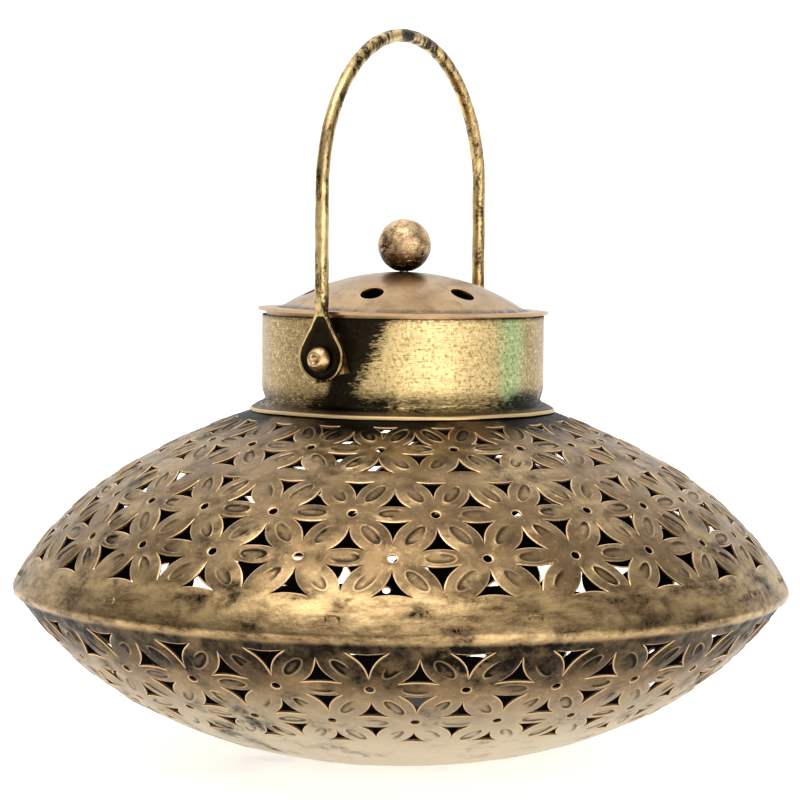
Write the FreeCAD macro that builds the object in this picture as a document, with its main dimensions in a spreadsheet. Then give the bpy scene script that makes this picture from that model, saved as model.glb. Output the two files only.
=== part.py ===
"""Hanging lantern: a pierced sheet-metal body with a lift-off lid, a ball knob and a swinging bail.

Millimetres, +Z up, origin at the centre of the flat foot that the lantern stands on.
The bail turns about the X axis direction, through the two rivets in the neck collar.
"""
import FreeCAD, Part
import math
import os
import re
import Sketcher

# Driving sizes: name, value, meaning. Every name has an underscore, so that it can be told
# apart from a function's name inside an expression.
SIZES = [
    # bowl, the lower half of the body
    ("body_radius", 125.0, "outermost radius, at the rolled nose of the body"),
    ("body_wall", 0.8, "sheet thickness of bowl and dome"),
    ("base_radius", 29.0, "flat foot of the bowl"),
    ("bowl_toe_slope", 6.0, "slope of the bowl as it leaves its foot, degrees"),
    ("bowl_belly_slope", 28.0, "slope where the belly bend meets the brow bend"),
    ("bowl_brow_slope", 56.0, "slope of the bowl at the seam"),
    ("bowl_belly_bend", 150.0, "bend radius of the bowl's belly"),
    ("bowl_lip_height", 1.6, "upright lip of the bowl inside the dome's nose"),
    ("seam_rise", 1.15, "nose centre above the foot of the bowl's lip"),
    ("seam_gap", 0.05, "clearance between the bowl's lip and the dome's curl"),
    # dome, the upper half of the body
    ("nose_radius", 3.0, "outer radius of the rolled nose"),
    ("nose_curl_slope", 120.0, "slope at which the curled edge of the nose ends"),
    ("neck_lap", 3.5, "how far the dome reaches in under the collar"),
    ("neck_slope", 18.0, "slope of the dome at the neck hole"),
    ("crown_slope", 28.0, "slope where the crown bend meets the brow bend"),
    ("brow_slope", 54.0, "slope where the brow bend meets the rim bend"),
    ("rim_slope", 66.0, "slope where the rim bend meets the nose"),
    ("crown_bend", 254.0, "bend radius of the dome's crown"),
    ("brow_bend", 111.3, "bend radius of the dome's brow"),
    # pierced flower pattern: rows of flowers share out the width of each shell
    ("flower_count", 25, "flowers in each row of the main band and of the bowl"),
    ("neck_flower_count", 19, "flowers in the single row near the neck"),
    ("petal_curve", 30.0, "curve radius of a petal's edge"),
    ("corner_inset", 0.56, "share of the way from flower centre to hole centre, to a hole's corner"),
    ("flower_eye_radius", 1.35, "round hole in the middle of each flower"),
    ("neck_edge_share", 0.02, "inner edge line of the neck band"),
    ("neck_row_share", 0.235, "row of flowers of the neck band"),
    ("mid_edge_share", 0.426, "edge line between the neck band and the main band"),
    ("upper_row_share", 0.628, "upper row of flowers of the main band"),
    ("lower_row_share", 0.801, "lower row of flowers of the main band"),
    ("nose_edge_share", 0.935, "outer edge line of the main band"),
    ("bowl_outer_edge_share", 0.988, "outer edge line of the bowl's band"),
    ("bowl_outer_row_share", 0.862, "outer row of flowers of the bowl"),
    ("bowl_inner_row_share", 0.719, "inner row of flowers of the bowl"),
    ("bowl_inner_edge_share", 0.556, "inner edge line of the bowl's band"),
    ("neck_band_turn", 15.45, "angle of the neck band's first flower, degrees"),
    ("main_band_turn", 7.58, "angle of the main band's first lower flower"),
    ("bowl_band_turn", 4.38, "angle of the bowl's first outer flower"),
    # neck collar
    ("collar_radius", 45.5, "outer radius of the neck collar"),
    ("collar_wall", 0.8, "sheet thickness of the neck collar"),
    ("collar_height", 31.0, "collar height above its foot"),
    ("foot_overhang", 3.7, "how far the collar's flared foot stands out"),
    ("foot_edge", 0.9, "height of the foot's cut edge"),
    ("foot_gap", 0.05, "solder gap under the collar's foot"),
    ("waist_inset", 1.2, "how far the collar draws in at its waist"),
    ("waist_height", 3.6, "height of the waist above the foot"),
    ("waist_bend_height", 3.7, "height of the bend between waist and wall"),
    # lid
    ("lid_wall", 0.9, "sheet thickness of the lid"),
    ("lid_overhang", 1.3, "how far the lid's rim stands out past the collar"),
    ("lid_rim_width", 7.1, "flat rim of the lid"),
    ("lid_crown_height", 12.0, "height of the lid's domed crown above its rim"),
    ("lid_standoff", 1.0, "gap between the collar and the lid's rim"),
    ("lid_tilt", 0.55, "how much the loose lid leans, degrees"),
    ("lid_tilt_heading", 30.5, "heading of the line that the lid leans about"),
    ("vent_count", 6, "round smoke vents in the lid"),
    ("vent_radius", 3.7, "radius of a smoke vent"),
    ("vent_ring_inset", 17.8, "vent circle inside the lid's edge"),
    ("vent_turn", 10.5, "angle of the first vent, degrees"),
    ("ring_wall", 0.8, "sheet thickness of the lid's locating ring"),
    ("ring_depth", 6.0, "how far the locating ring hangs below the rim"),
    ("ring_clearance", 0.5, "radial clearance of the locating ring in the collar"),
    # knob and its fastener
    ("knob_radius", 8.65, "ball knob"),
    ("knob_seat_radius", 2.6, "flat on the ball where it stands on the lid"),
    ("knob_gap", 0.05, "gap under the flat of the ball"),
    ("screw_radius", 1.5, "knob screw shank"),
    ("screw_reach", 7.0, "how far the knob screw goes into the ball"),
    ("screw_fit", 0.05, "radial clearance of the screw in the ball"),
    ("screw_hole_clearance", 0.2, "radial clearance of the screw in lid and washer"),
    ("screw_head_radius", 2.8, "knob screw head"),
    ("screw_head_height", 1.8, "knob screw head height"),
    ("knob_washer_radius", 4.5, "washer under the lid"),
    ("knob_washer_height", 0.8, "thickness of that washer"),
    # bail and its pivots
    ("rod_radius", 2.25, "bail rod"),
    ("bail_rise", 102.0, "bail rod centre at the top, above the pivots"),
    ("bail_lid_clearance", 0.55, "clearance between the lid's rim and the bail legs"),
    ("pivot_rise", 18.4, "pivots above the collar's foot"),
    ("paddle_radius", 8.2, "round end of the flattened bail end"),
    ("paddle_lift", 0.8, "centre of the round end above the pivot"),
    ("paddle_shoulder", 26.0, "angle at which the paddle's sides leave its round end"),
    ("paddle_top", 14.5, "height of the paddle's narrow top above the pivot"),
    ("paddle_wall", 1.4, "thickness of the flattened end"),
    ("shank_radius", 1.6, "pivot rivet shank"),
    ("pivot_fit", 0.1, "radial running clearance of the paddle on the rivet"),
    ("pivot_play", 0.12, "end play of the paddle on the rivet, each side"),
    ("rivet_head_radius", 4.0, "domed head of the pivot rivet"),
    ("rivet_head_height", 3.4, "height of that head"),
    ("dimple_radius", 1.5, "dimple in the rivet head"),
    ("dimple_depth", 0.9, "depth of the dimple"),
    ("tail_radius", 2.7, "peened tail of the rivet inside the collar"),
    ("tail_height", 1.2, "height of the peened tail"),
    ("spacer_side", 13.0, "side of the square spacer between collar and paddle"),
    ("spacer_turn", 18.0, "turn of the square spacer, degrees"),
    ("spacer_gap", 0.02, "gap between spacer and collar"),
    ("inner_washer_radius", 4.5, "round washer inside the collar"),
    ("inner_washer_height", 0.9, "thickness of that washer"),
    # candle holder and tealight
    ("tealight_radius", 18.9, "outer radius of the tealight's case"),
    ("tealight_height", 15.5, "height of the tealight's case"),
    ("case_wall", 0.3, "sheet thickness of the tealight's case"),
    ("wax_height", 12.5, "depth of the wax"),
    ("wax_clearance", 0.05, "gap between the wax and what it surrounds"),
    ("wick_radius", 0.8, "wick"),
    ("wick_rise", 6.0, "wick above the wax"),
    ("tab_radius", 6.0, "metal tab that holds the wick"),
    ("tab_wall", 0.4, "thickness of the tab"),
    ("cup_wall", 0.6, "sheet thickness of the candle cup"),
    ("cup_height", 8.0, "height of the candle cup's wall"),
    ("cup_clearance", 0.8, "radial clearance of the tealight in its cup"),
]

# Worked-out sizes: name and expression, in the order in which they depend on each other.
DERIVED = [
    ("nose_centre_radius", "body_radius - nose_radius"),
    ("bowl_lip_radius",
     "nose_centre_radius + (nose_radius - body_wall)*sin(nose_curl_slope) - seam_gap"),
    ("bowl_brow_bend",
     "(bowl_lip_radius - base_radius - bowl_belly_bend*(sin(bowl_belly_slope) - sin(bowl_toe_slope)))"
     "/(sin(bowl_brow_slope) - sin(bowl_belly_slope))"),
    ("bowl_wall_height",
     "bowl_belly_bend*(cos(bowl_toe_slope) - cos(bowl_belly_slope))"
     " + bowl_brow_bend*(cos(bowl_belly_slope) - cos(bowl_brow_slope))"),
    ("equator_height", "bowl_wall_height + seam_rise"),
    ("neck_hole_radius", "collar_radius - neck_lap"),
    ("rim_bend",
     "(nose_centre_radius + nose_radius*sin(rim_slope) - neck_hole_radius"
     " - crown_bend*(sin(crown_slope) - sin(neck_slope))"
     " - brow_bend*(sin(brow_slope) - sin(crown_slope)))/(sin(rim_slope) - sin(brow_slope))"),
    ("neck_height",
     "equator_height + crown_bend*(cos(neck_slope) - cos(crown_slope))"
     " + brow_bend*(cos(crown_slope) - cos(brow_slope))"
     " + rim_bend*(cos(brow_slope) - cos(rim_slope)) + nose_radius*cos(rim_slope)"),
    ("foot_radius", "collar_radius + foot_overhang"),
    ("foot_sine", "sin(neck_slope) + (foot_radius - neck_hole_radius)/crown_bend"),
    ("foot_height",
     "neck_height - crown_bend*(cos(neck_slope) - sqrt(1 - foot_sine^2)) + foot_gap"),
    ("foot_inner_height", "foot_height + collar_wall*foot_sine/sqrt(1 - foot_sine^2)"),
    ("collar_top", "foot_height + collar_height"),
    ("collar_bore", "collar_radius - collar_wall"),
    ("shell_span", "body_radius - foot_radius"),
    ("bowl_span", "bowl_lip_radius - base_radius"),
    ("lid_radius", "collar_radius + lid_overhang"),
    ("crown_foot_radius", "lid_radius - lid_rim_width"),
    ("lid_crown_bend", "(crown_foot_radius^2 + lid_crown_height^2)/(2*lid_crown_height)"),
    ("lid_apex", "lid_wall + lid_crown_height"),
    ("lid_seat", "collar_top + lid_standoff"),
    ("vent_ring_radius", "lid_radius - vent_ring_inset"),
    ("ring_radius", "collar_bore - ring_clearance"),
    ("knob_centre", "lid_apex + knob_gap + sqrt(knob_radius^2 - knob_seat_radius^2)"),
    ("washer_top",
     "lid_apex - lid_crown_bend + sqrt((lid_crown_bend - lid_wall)^2 - knob_washer_radius^2)"
     " - knob_gap"),
    ("washer_foot", "washer_top - knob_washer_height"),
    ("screw_top", "lid_apex + knob_gap + screw_reach"),
    ("pivot_height", "foot_height + pivot_rise"),
    ("bail_half_span", "lid_radius + bail_lid_clearance + rod_radius"),
    ("bail_spring", "bail_rise - bail_half_span"),
    ("paddle_inner", "bail_half_span - paddle_wall/2"),
    ("paddle_outer", "bail_half_span + paddle_wall/2"),
    ("head_base", "paddle_outer + pivot_play"),
    ("inner_washer_face", "sqrt(collar_bore^2 - inner_washer_radius^2) - spacer_gap"),
    ("tail_top", "inner_washer_face - inner_washer_height"),
    ("cup_bore", "tealight_radius + cup_clearance"),
    ("cup_floor", "body_wall + cup_wall"),
    ("wax_foot", "cup_floor + case_wall"),
    ("tab_top", "wax_foot + tab_wall"),
]

document = FreeCAD.newDocument("lantern")
sheet = document.addObject("Spreadsheet::Sheet", "Sizes")
derived = document.addObject("App::VarSet", "Derived")
SIZE_NAMES = [name for name, _, _ in SIZES]
DERIVED_NAMES = [name for name, _ in DERIVED]


def scoped(expression):
    """Put the owning object in front of each size's name in an expression."""
    def owner(match):
        word = match.group(0)
        if word in SIZE_NAMES:
            return "Sizes." + word
        if word in DERIVED_NAMES:
            return "Derived." + word
        raise ValueError("unknown size " + word)
    return re.sub(r"[a-z]+(?:_[a-z]+)+", owner, str(expression))


def measure(expression):
    """Value of an expression on the sizes, in millimetres or degrees."""
    return float(sheet.evalExpression(scoped(expression)))


def bind(thing, target, expression):
    """Tie a property or a constraint to an expression on the sizes."""
    thing.setExpression(target, scoped(expression))


def fill_sheet():
    for row, (name, value, meaning) in enumerate(SIZES, start=1):
        sheet.set("A%d" % row, name)
        sheet.set("B%d" % row, str(value))
        sheet.set("C%d" % row, meaning)
        sheet.setAlias("B%d" % row, name)
    document.recompute()
    for name, expression in DERIVED:
        derived.addProperty("App::PropertyFloat", name)
        bind(derived, name, expression)
        document.recompute()


# --- sketches -------------------------------------------------------------------------------

def origin_plane(body, role):
    """One of the body's own origin planes, such as XZ_Plane."""
    return next(f for f in body.Origin.OriginFeatures if f.Role == role)


def new_sketch(body, name, role, offset=None):
    """Sketch on an origin plane of the body, lifted along the plane's normal by offset."""
    sketch = body.newObject("Sketcher::SketchObject", name)
    sketch.AttachmentSupport = [(origin_plane(body, role), "")]
    sketch.MapMode = "FlatFace"
    if offset is not None:
        bind(sketch, "AttachmentOffset.Base.z", offset)
    document.recompute()
    return sketch


def pin(sketch, geometry, vertex, x, y):
    """Fix a point of the sketch at the expressions x and y."""
    for kind, place in (("DistanceX", x), ("DistanceY", y)):
        rule = Sketcher.Constraint(kind, -1, 1, geometry, vertex, measure(place))
        number = sketch.addConstraint(rule)
        bind(sketch, "Constraints[%d]" % number, place)


def hold_radius(sketch, geometry, radius):
    number = sketch.addConstraint(Sketcher.Constraint("Radius", geometry, measure(radius)))
    bind(sketch, "Constraints[%d]" % number, radius)


def arc_between(start, end, radius, left):
    """Short arc from start to end, its centre on the left or the right of the way there."""
    chord = math.dist(start, end)
    side = math.sqrt(radius ** 2 - chord ** 2 / 4) * (1 if left else -1)
    along = ((end[0] - start[0]) / chord, (end[1] - start[1]) / chord)
    centre_x = (start[0] + end[0]) / 2 - along[1] * side
    centre_y = (start[1] + end[1]) / 2 + along[0] * side
    angles = [math.atan2(p[1] - centre_y, p[0] - centre_x) for p in (start, end)]
    if not left:
        angles.reverse()
    circle = Part.Circle(FreeCAD.Vector(centre_x, centre_y, 0), FreeCAD.Vector(0, 0, 1), radius)
    return Part.ArcOfCircle(circle, *angles)


def draw_path(sketch, corners, closed=True):
    """Draw edges through the corners. A corner is (x, y) where a straight edge leaves it, or
    (x, y, radius, side) where an arc does, with its centre on that side of the way on."""
    points = [(measure(corner[0]), measure(corner[1])) for corner in corners]
    edges = []
    for number in range(len(corners) if closed else len(corners) - 1):
        start = points[number]
        end = points[(number + 1) % len(points)]
        if len(corners[number]) == 2:
            edge = Part.LineSegment(FreeCAD.Vector(*start, 0), FreeCAD.Vector(*end, 0))
            edges.append((sketch.addGeometry(edge, False), 1, 2))
        else:
            radius, side = corners[number][2:]
            edge = arc_between(start, end, measure(radius), side == "left")
            first, last = (1, 2) if side == "left" else (2, 1)
            edges.append((sketch.addGeometry(edge, False), first, last))
            hold_radius(sketch, edges[-1][0], radius)
    for number, (geometry, first, last) in enumerate(edges):
        pin(sketch, geometry, first, corners[number][0], corners[number][1])
        if closed or number + 1 < len(edges):
            after, after_first, _ = edges[(number + 1) % len(edges)]
            sketch.addConstraint(Sketcher.Constraint("Coincident", geometry, last, after, after_first))
        else:
            pin(sketch, geometry, last, corners[number + 1][0], corners[number + 1][1])


def draw_circle(sketch, x, y, radius):
    centre = FreeCAD.Vector(measure(x), measure(y), 0)
    circle = Part.Circle(centre, FreeCAD.Vector(0, 0, 1), measure(radius))
    geometry = sketch.addGeometry(circle, False)
    pin(sketch, geometry, 3, x, y)
    hold_radius(sketch, geometry, radius)


# --- features -------------------------------------------------------------------------------

def new_body(name):
    body = document.addObject("PartDesign::Body", name)
    body.Label = name
    return body


def revolve(body, corners):
    """Turn a closed profile of radii and heights about the body's Z axis."""
    sketch = new_sketch(body, body.Label + "_profile", "XZ_Plane")
    draw_path(sketch, corners)
    turned = body.newObject("PartDesign::Revolution", body.Label + "_turned")
    turned.Profile = sketch
    turned.ReferenceAxis = (sketch, ["V_Axis"])
    turned.Angle = 360
    document.recompute()
    return turned


def turned_body(name, corners):
    body = new_body(name)
    revolve(body, corners)
    return body


def pierce(body, sketch, both_ways=False):
    """Cut the sketch's outlines right through the body along the sketch's normal."""
    before = body.Shape.Volume
    cut = body.newObject("PartDesign::Pocket", sketch.Label + "_cut")
    cut.Profile = sketch
    cut.Type = "ThroughAll"
    if both_ways:
        cut.SideType = "Symmetric"
    else:
        cut.Reversed = True
    document.recompute()
    if not 0 < body.Shape.Volume < before:
        raise RuntimeError(sketch.Label + " cuts nothing")
    return cut


def pattern_round(body, feature, sketch, count):
    """Repeat a feature around the Z axis."""
    before = body.Shape.Volume
    pattern = body.newObject("PartDesign::PolarPattern", feature.Label + "_round")
    pattern.Originals = [feature]
    pattern.Axis = (sketch, ["N_Axis"])
    pattern.Angle = 360
    bind(pattern, "Occurrences", count)
    body.Tip = pattern
    document.recompute()
    if not 0 < body.Shape.Volume < before:
        raise RuntimeError(pattern.Label + " changes nothing")


def raise_to(body, height):
    bind(body, "Placement.Base.z", height)


def spun_wall(start, bends, wall):
    """Outer corners and inner corners of a spun wall that starts at a radius and a height.

    bends are (bend radius, slope before, slope after), with slopes downhill and outwards."""
    radius, height = start
    first_slope = bends[0][1]
    outer = [(radius, height)]
    inner = [("%s - %s*sin(%s)" % (radius, wall, first_slope),
              "%s - %s*cos(%s)" % (height, wall, first_slope))]
    for bend, before, after in bends:
        radius = "%s + %s*(sin(%s) - sin(%s))" % (radius, bend, after, before)
        height = "%s - %s*(cos(%s) - cos(%s))" % (height, bend, before, after)
        outer.append((radius, height))
        inner.append(("%s - %s*sin(%s)" % (radius, wall, after),
                      "%s - %s*cos(%s)" % (height, wall, after)))
    return outer, inner


def wall_loop(outer, inner, bends, wall, turn):
    """Closed loop along the outer corners and back along the inner ones."""
    back = "left" if turn == "right" else "right"
    loop = [corner + (bend[0], turn) for corner, bend in zip(outer, bends)]
    loop.append(outer[-1])
    for corner, bend in zip(reversed(inner[1:]), reversed(bends)):
        loop.append(corner + ("%s - %s" % (bend[0], wall), back))
    loop.append(inner[0])
    return loop


# --- pierced flower pattern -----------------------------------------------------------------

def ring_point(radius, turn):
    """Point in plan at a radius and an angle."""
    return "(%s)*cos(%s)" % (radius, turn), "(%s)*sin(%s)" % (radius, turn)


def draw_leaf_hole(sketch, lattice):
    """Three-cornered hole between three flower centres, its edges bowed in by the petals."""
    corners = []
    for number in range(3):
        here, second, third = lattice[number], lattice[number - 1], lattice[number - 2]
        corners.append(tuple("(1 - 2*corner_inset/3)*%s + corner_inset/3*(%s + %s)"
                             % (here[axis], second[axis], third[axis]) for axis in (0, 1)))
    points = [(measure(x), measure(y)) for x, y in corners]
    doubled_area = sum(points[n - 1][0] * points[n][1] - points[n][0] * points[n - 1][1]
                       for n in range(3))
    if doubled_area < 0:
        corners.reverse()
    draw_path(sketch, [corner + ("petal_curve", "right") for corner in corners])


def pierce_band(body, name, lines, flower_lines, turn, count):
    """Pierce one band. lines are the radii of its lattice lines, each half a step on from the
    last; flower_lines are the numbers of the lines whose flowers have an eye."""
    sketch = new_sketch(body, name, "XY_Plane")
    half_step = "180/%s" % count

    def lattice_point(line, halves):
        return ring_point(lines[line], "%s + %d*%s" % (turn, halves, half_step))

    for line in range(len(lines) - 1):
        shift = line % 2
        for base, tip in ((line, line + 1), (line + 1, line)):
            offset = shift if base == line else 1 - shift
            ends = [lattice_point(base, offset), lattice_point(base, offset + 2)]
            draw_leaf_hole(sketch, ends + [lattice_point(tip, offset + 1)])
    for line in flower_lines:
        x, y = lattice_point(line, line % 2)
        draw_circle(sketch, x, y, "flower_eye_radius")
    pattern_round(body, pierce(body, sketch), sketch, count)


def dome_line(share):
    return "foot_radius + %s*shell_span" % share


def bowl_line(share):
    return "base_radius + %s*bowl_span" % share


# --- body -----------------------------------------------------------------------------------

def make_lower_bowl():
    """Spun bowl: flat foot, two tangent bends and an upright lip inside the dome's nose."""
    body = new_body("lower_bowl")
    belly = ("bowl_belly_bend", "bowl_toe_slope", "bowl_belly_slope")
    brow = ("bowl_brow_bend", "bowl_belly_slope", "bowl_brow_slope")
    radius, height = "base_radius", "0"
    outer = [(radius, height)]
    inner = [("base_radius - body_wall*sin(bowl_toe_slope)", "body_wall*cos(bowl_toe_slope)")]
    for bend, before, after in (belly, brow):
        radius = "%s + %s*(sin(%s) - sin(%s))" % (radius, bend, after, before)
        height = "%s + %s*(cos(%s) - cos(%s))" % (height, bend, before, after)
        outer.append((radius, height))
        inner.append(("%s - body_wall*sin(%s)" % (radius, after),
                      "%s + body_wall*cos(%s)" % (height, after)))
    lip_top = "bowl_wall_height + bowl_lip_height"
    revolve(body, [
        ("0", "0"),
        outer[0] + ("bowl_belly_bend", "left"),
        outer[1] + ("bowl_brow_bend", "left"),
        ("bowl_lip_radius", "bowl_wall_height"),
        ("bowl_lip_radius", lip_top),
        ("bowl_lip_radius - body_wall", lip_top),
        ("bowl_lip_radius - body_wall", inner[2][1]),
        inner[2] + ("bowl_brow_bend - body_wall", "right"),
        inner[1] + ("bowl_belly_bend - body_wall", "right"),
        (inner[0][0], "body_wall"),
        ("0", "body_wall"),
    ])
    lines = [bowl_line(share) for share in ("bowl_outer_edge_share", "bowl_outer_row_share",
                                            "bowl_inner_row_share", "bowl_inner_edge_share")]
    pierce_band(body, "bowl_band", lines, (1, 2), "bowl_band_turn - 180/flower_count",
                "flower_count")


def make_upper_dome():
    """Spun dome: three tangent bends from the neck hole out to a rolled, curled-in nose."""
    body = new_body("upper_dome")
    bends = [
        ("crown_bend", "neck_slope", "crown_slope"),
        ("brow_bend", "crown_slope", "brow_slope"),
        ("rim_bend", "brow_slope", "rim_slope"),
        ("nose_radius", "rim_slope", "nose_curl_slope"),
    ]
    outer, inner = spun_wall(("neck_hole_radius", "neck_height"), bends, "body_wall")
    revolve(body, wall_loop(outer, inner, bends, "body_wall", "right"))
    main_lines = [dome_line(share) for share in ("nose_edge_share", "lower_row_share",
                                                 "upper_row_share", "mid_edge_share")]
    pierce_band(body, "main_band", main_lines, (1, 2), "main_band_turn - 180/flower_count",
                "flower_count")
    neck_lines = [dome_line(share) for share in ("mid_edge_share", "neck_row_share",
                                                 "neck_edge_share")]
    pierce_band(body, "neck_band", neck_lines, (1,), "neck_band_turn - 180/neck_flower_count",
                "neck_flower_count")


def make_neck_collar():
    """Collar: upright wall that draws in to a waist and flares out to a foot on the dome."""
    body = turned_body("neck_collar", [
        ("collar_radius", "collar_top"),
        ("collar_bore", "collar_top"),
        ("collar_bore", "foot_height + waist_height + waist_bend_height",
         "(waist_bend_height^2 + waist_inset^2)/(2*waist_inset) - collar_wall", "right"),
        ("collar_bore - waist_inset", "foot_height + waist_height"),
        ("foot_radius - collar_wall", "foot_inner_height"),
        ("foot_radius", "foot_height"),
        ("foot_radius", "foot_height + foot_edge"),
        ("collar_radius - waist_inset", "foot_height + waist_height",
         "(waist_bend_height^2 + waist_inset^2)/(2*waist_inset)", "left"),
        ("collar_radius", "foot_height + waist_height + waist_bend_height"),
    ])
    holes = new_sketch(body, "pivot_holes", "YZ_Plane")
    draw_circle(holes, "0", "pivot_height", "shank_radius + pivot_fit")
    pierce(body, holes, both_ways=True)


# --- lid and knob, drawn in the lid's own frame: zero at the underside of its rim ------------

def seat_lid_part(body):
    """Put a piece of the lid on its seat, with the lean of the loose lid."""
    raise_to(body, "lid_seat")
    bind(body, "Placement.Rotation.Axis.x", "cos(lid_tilt_heading)")
    bind(body, "Placement.Rotation.Axis.y", "sin(lid_tilt_heading)")
    bind(body, "Placement.Rotation.Axis.z", "0")
    bind(body, "Placement.Rotation.Angle", "lid_tilt")
    document.recompute()


def make_lid_dome():
    """Pressed lid: flat rim and spherical crown, with a ring of smoke vents."""
    inner_bend = "lid_crown_bend - lid_wall"
    hole = "screw_radius + screw_hole_clearance"
    centre = "lid_apex - lid_crown_bend"
    body = turned_body("lid_dome", [
        ("lid_radius", "0"),
        ("lid_radius", "lid_wall"),
        ("crown_foot_radius", "lid_wall", "lid_crown_bend", "left"),
        (hole, "%s + sqrt(lid_crown_bend^2 - (%s)^2)" % (centre, hole)),
        (hole, "%s + sqrt((%s)^2 - (%s)^2)" % (centre, inner_bend, hole), inner_bend, "right"),
        ("sqrt((%s)^2 - (%s)^2)" % (inner_bend, centre), "0"),
    ])
    vent = new_sketch(body, "smoke_vent", "XY_Plane")
    x, y = ring_point("vent_ring_radius", "vent_turn")
    draw_circle(vent, x, y, "vent_radius")
    pattern_round(body, pierce(body, vent), vent, "vent_count")
    seat_lid_part(body)


def make_lid_locating_ring():
    """Plain ring under the lid that drops into the collar."""
    body = turned_body("lid_locating_ring", [
        ("ring_radius - ring_wall", "-ring_depth"),
        ("ring_radius", "-ring_depth"),
        ("ring_radius", "0"),
        ("ring_radius - ring_wall", "0"),
    ])
    seat_lid_part(body)


def make_knob():
    """Ball knob, and the screw and washer that hold it from under the lid."""
    seat = "lid_apex + knob_gap"
    bore = "screw_radius + screw_fit"
    bore_top = "screw_top + screw_fit"
    ball = turned_body("knob_ball", [
        (bore, seat),
        ("knob_seat_radius", seat, "knob_radius", "left"),
        ("knob_radius", "knob_centre", "knob_radius", "left"),
        ("0", "knob_centre + knob_radius"),
        ("0", bore_top),
        (bore, bore_top),
    ])
    seat_lid_part(ball)
    screw = turned_body("knob_screw", [
        ("0", "washer_foot - screw_head_height"),
        ("screw_head_radius", "washer_foot - screw_head_height"),
        ("screw_head_radius", "washer_foot"),
        ("screw_radius", "washer_foot"),
        ("screw_radius", "screw_top"),
        ("0", "screw_top"),
    ])
    seat_lid_part(screw)
    hole = "screw_radius + screw_hole_clearance"
    washer = turned_body("knob_washer", [
        (hole, "washer_foot"),
        ("knob_washer_radius", "washer_foot"),
        ("knob_washer_radius", "washer_top"),
        (hole, "washer_top"),
    ])
    seat_lid_part(washer)


# --- bail and pivots ------------------------------------------------------------------------

def make_bail_handle():
    """Bent rod with a round arch, its ends forged flat into paddles. Zero is the pivot axis."""
    body = new_body("bail_handle")
    path = new_sketch(body, "bail_path", "XZ_Plane")
    draw_path(path, [
        ("bail_half_span", "paddle_top"),
        ("bail_half_span", "bail_spring", "bail_half_span", "left"),
        ("0", "bail_rise", "bail_half_span", "left"),
        ("-bail_half_span", "bail_spring"),
        ("-bail_half_span", "paddle_top"),
    ], closed=False)
    section = new_sketch(body, "bail_section", "XY_Plane", offset="paddle_top")
    draw_circle(section, "bail_half_span", "0", "rod_radius")
    rod = body.newObject("PartDesign::AdditivePipe", "bail_rod")
    rod.Profile = section
    rod.Spine = path
    document.recompute()

    outline = new_sketch(body, "paddle_outline", "YZ_Plane", offset="bail_half_span")
    side = "paddle_radius*cos(paddle_shoulder)"
    shoulder = "paddle_lift + paddle_radius*sin(paddle_shoulder)"
    draw_path(outline, [
        ("rod_radius", "paddle_top"),
        ("-rod_radius", "paddle_top"),
        ("-%s" % side, shoulder, "paddle_radius", "left"),
        ("0", "paddle_lift - paddle_radius", "paddle_radius", "left"),
        (side, shoulder),
    ])
    draw_circle(outline, "0", "0", "shank_radius + pivot_fit")
    paddle = body.newObject("PartDesign::Pad", "paddle")
    paddle.Profile = outline
    paddle.SideType = "Symmetric"
    bind(paddle, "Length", "paddle_wall")
    document.recompute()

    neck = body.newObject("PartDesign::AdditiveCone", "paddle_neck")
    bind(neck, "Radius1", "paddle_wall/2")
    bind(neck, "Radius2", "rod_radius")
    bind(neck, "Height", "paddle_top - paddle_radius")
    bind(neck, "AttachmentOffset.Base.x", "bail_half_span")
    bind(neck, "AttachmentOffset.Base.z", "paddle_radius")
    neck.AttachmentSupport = [(origin_plane(body, "XY_Plane"), "")]
    neck.MapMode = "FlatFace"
    document.recompute()

    mirrored = body.newObject("PartDesign::Mirrored", "other_paddle")
    mirrored.Originals = [paddle, neck]
    mirrored.MirrorPlane = (origin_plane(body, "YZ_Plane"), [""])
    body.Tip = mirrored
    raise_to(body, "pivot_height")
    document.recompute()


def face_outwards(body, side):
    """Lay a piece that is drawn about Z along the pivot axis, outwards on one side."""
    heading = FreeCAD.Vector(side, 0, 0)
    body.Placement.Rotation = FreeCAD.Rotation(FreeCAD.Vector(0, 0, 1), heading)
    raise_to(body, "pivot_height")
    document.recompute()


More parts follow.
